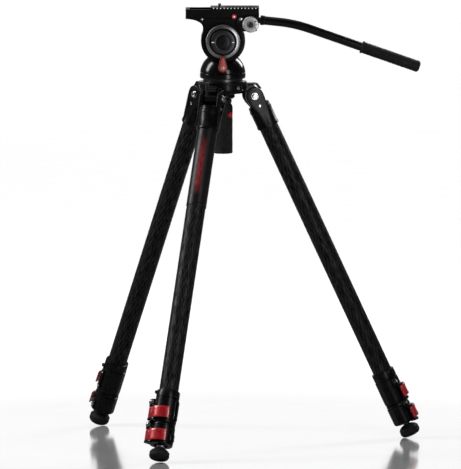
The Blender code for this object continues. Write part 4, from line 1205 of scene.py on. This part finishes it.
def make_floor():
    nodes = Nodes("pale_floor")
    near = nodes.place((0.4, 0.4, 0.4))
    # Painted shade: the floor's colour darkens from 0.92 beyond about 2.2 m to 0.22 within about 0.7 m of the
    # tripod's axis.
    painted_shade_round_tripod = nodes.add("ShaderNodeTexGradient", {"Vector": near}, gradient_type="SPHERICAL").outputs["Fac"]
    cloud = nodes.ramp(nodes.noise(0.6, 3), [(0.3, 0.95), (0.7, 1.0)])
    colour = nodes.mix(1.0, nodes.ramp(painted_shade_round_tripod, [(0.12, 0.92), (0.72, 0.22)]), cloud, "MULTIPLY")
    rough = nodes.ramp(nodes.noise(14, 3), [(0.3, 0.10), (0.7, 0.12)])
    material = nodes.done(Base_Color=colour, Roughness=rough, Specular_IOR_Level=0.5)
    mesh = bpy.data.meshes.new("floor")
    size = 60
    corners = [(-size, -size, 0), (size, -size, 0), (size, size * 3, 0), (-size, size * 3, 0)]
    mesh.from_pydata(corners, [], [(0, 1, 2, 3)])
    mesh.materials.append(material)
    floor = linked("floor", mesh)
    floor.location = AXIS + Vector((0, 0, -0.0002))


def softbox(name, place, target, width, height, power):
    light = bpy.data.lights.new(name, "AREA")
    light.shape = "RECTANGLE"
    light.size = width
    light.size_y = height
    light.energy = power
    item = linked(name, light)
    item.location = place
    item.rotation_euler = (Vector(target) - Vector(place)).to_track_quat("-Z", "Y").to_euler()
    return item


CAMERA_AZIMUTH = 0.0
CAMERA_ELEVATION = math.radians(6.1)
CAMERA_DISTANCE = 40.0
VIEW_SIDE = 0.8817  # metres across the picture's long side at the tripod's axis


def make_camera():
    a, e = CAMERA_AZIMUTH, CAMERA_ELEVATION
    right = Vector((math.cos(a), math.sin(a), 0))
    back = Vector((math.sin(a) * math.cos(e), -math.cos(a) * math.cos(e), math.sin(e)))
    target = AXIS + right * 0.0145 + Vector((0, 0, 0.392))
    camera = bpy.data.cameras.new("camera")
    camera.sensor_width = 36
    camera.lens = 36 * CAMERA_DISTANCE / VIEW_SIDE
    camera.clip_end = 500
    item = linked("camera", camera)
    item.location = target + back * CAMERA_DISTANCE
    item.rotation_euler = back.to_track_quat("Z", "Y").to_euler()
    bpy.context.scene.camera = item


def polar(azimuth, elevation, distance, centre):
    """A point seen from a centre: azimuth 0 is the camera's side, positive to the picture's right."""
    a = CAMERA_AZIMUTH + math.radians(azimuth)
    e = math.radians(elevation)
    return centre + Vector((math.sin(a) * math.cos(e), -math.cos(a) * math.cos(e), math.sin(e))) * distance


def make_lights():
    head = AXIS + Vector((0, 0, 0.72))
    legs = AXIS + Vector((0, 0, 0.38))
    softbox("strip_front", polar(27, 2, 1.5, head), head, 0.30, 1.2, 13)
    softbox("box_left", polar(-88, 36, 2.2, legs), legs, 0.5, 1.3, 58)
    softbox("rim_right", polar(135, 30, 2.0, head), head, 0.5, 1.3, 40)
    sun = bpy.data.lights.new("sun", "SUN")
    sun.energy = 0.7
    sun.angle = math.radians(50)
    item = linked("sun", sun)
    item.rotation_euler = (math.radians(-8), math.radians(-8), 0)
    make_world()


def make_world():
    """A dim studio with a white backdrop card straight behind the tripod."""
    world = bpy.data.worlds.new("studio")
    bpy.context.scene.world = world
    world.use_nodes = True
    tree = world.node_tree
    background = tree.nodes["Background"]
    background.inputs["Strength"].default_value = 1.0
    place = tree.nodes.new("ShaderNodeTexCoord")
    toward = tree.nodes.new("ShaderNodeVectorMath")
    toward.operation = "DOT_PRODUCT"
    toward.inputs[1].default_value = (-math.sin(CAMERA_AZIMUTH), math.cos(CAMERA_AZIMUTH), 0.08)
    tree.links.new(place.outputs["Generated"], toward.inputs[0])
    ramp = tree.nodes.new("ShaderNodeValToRGB")
    tree.links.new(toward.outputs["Value"], ramp.inputs["Fac"])
    stops = ((0.0, 0.09), (0.88, 0.12), (0.96, 0.6), (0.985, 1.55))
    elements = ramp.color_ramp.elements
    while len(elements) < len(stops):
        elements.new(0.5)
    for element, (where, tone) in zip(elements, stops):
        element.position = where
        element.color = (tone, tone, tone, 1)
    tree.links.new(ramp.outputs["Color"], background.inputs["Color"])


make_legs()
make_bowl_and_clamp()
make_pan()
make_tilt()
make_platform()
make_plate()
make_handle()
make_floor()
make_camera()
make_lights()
bpy.context.scene.view_settings.view_transform = "Standard"
bpy.context.view_layer.update()
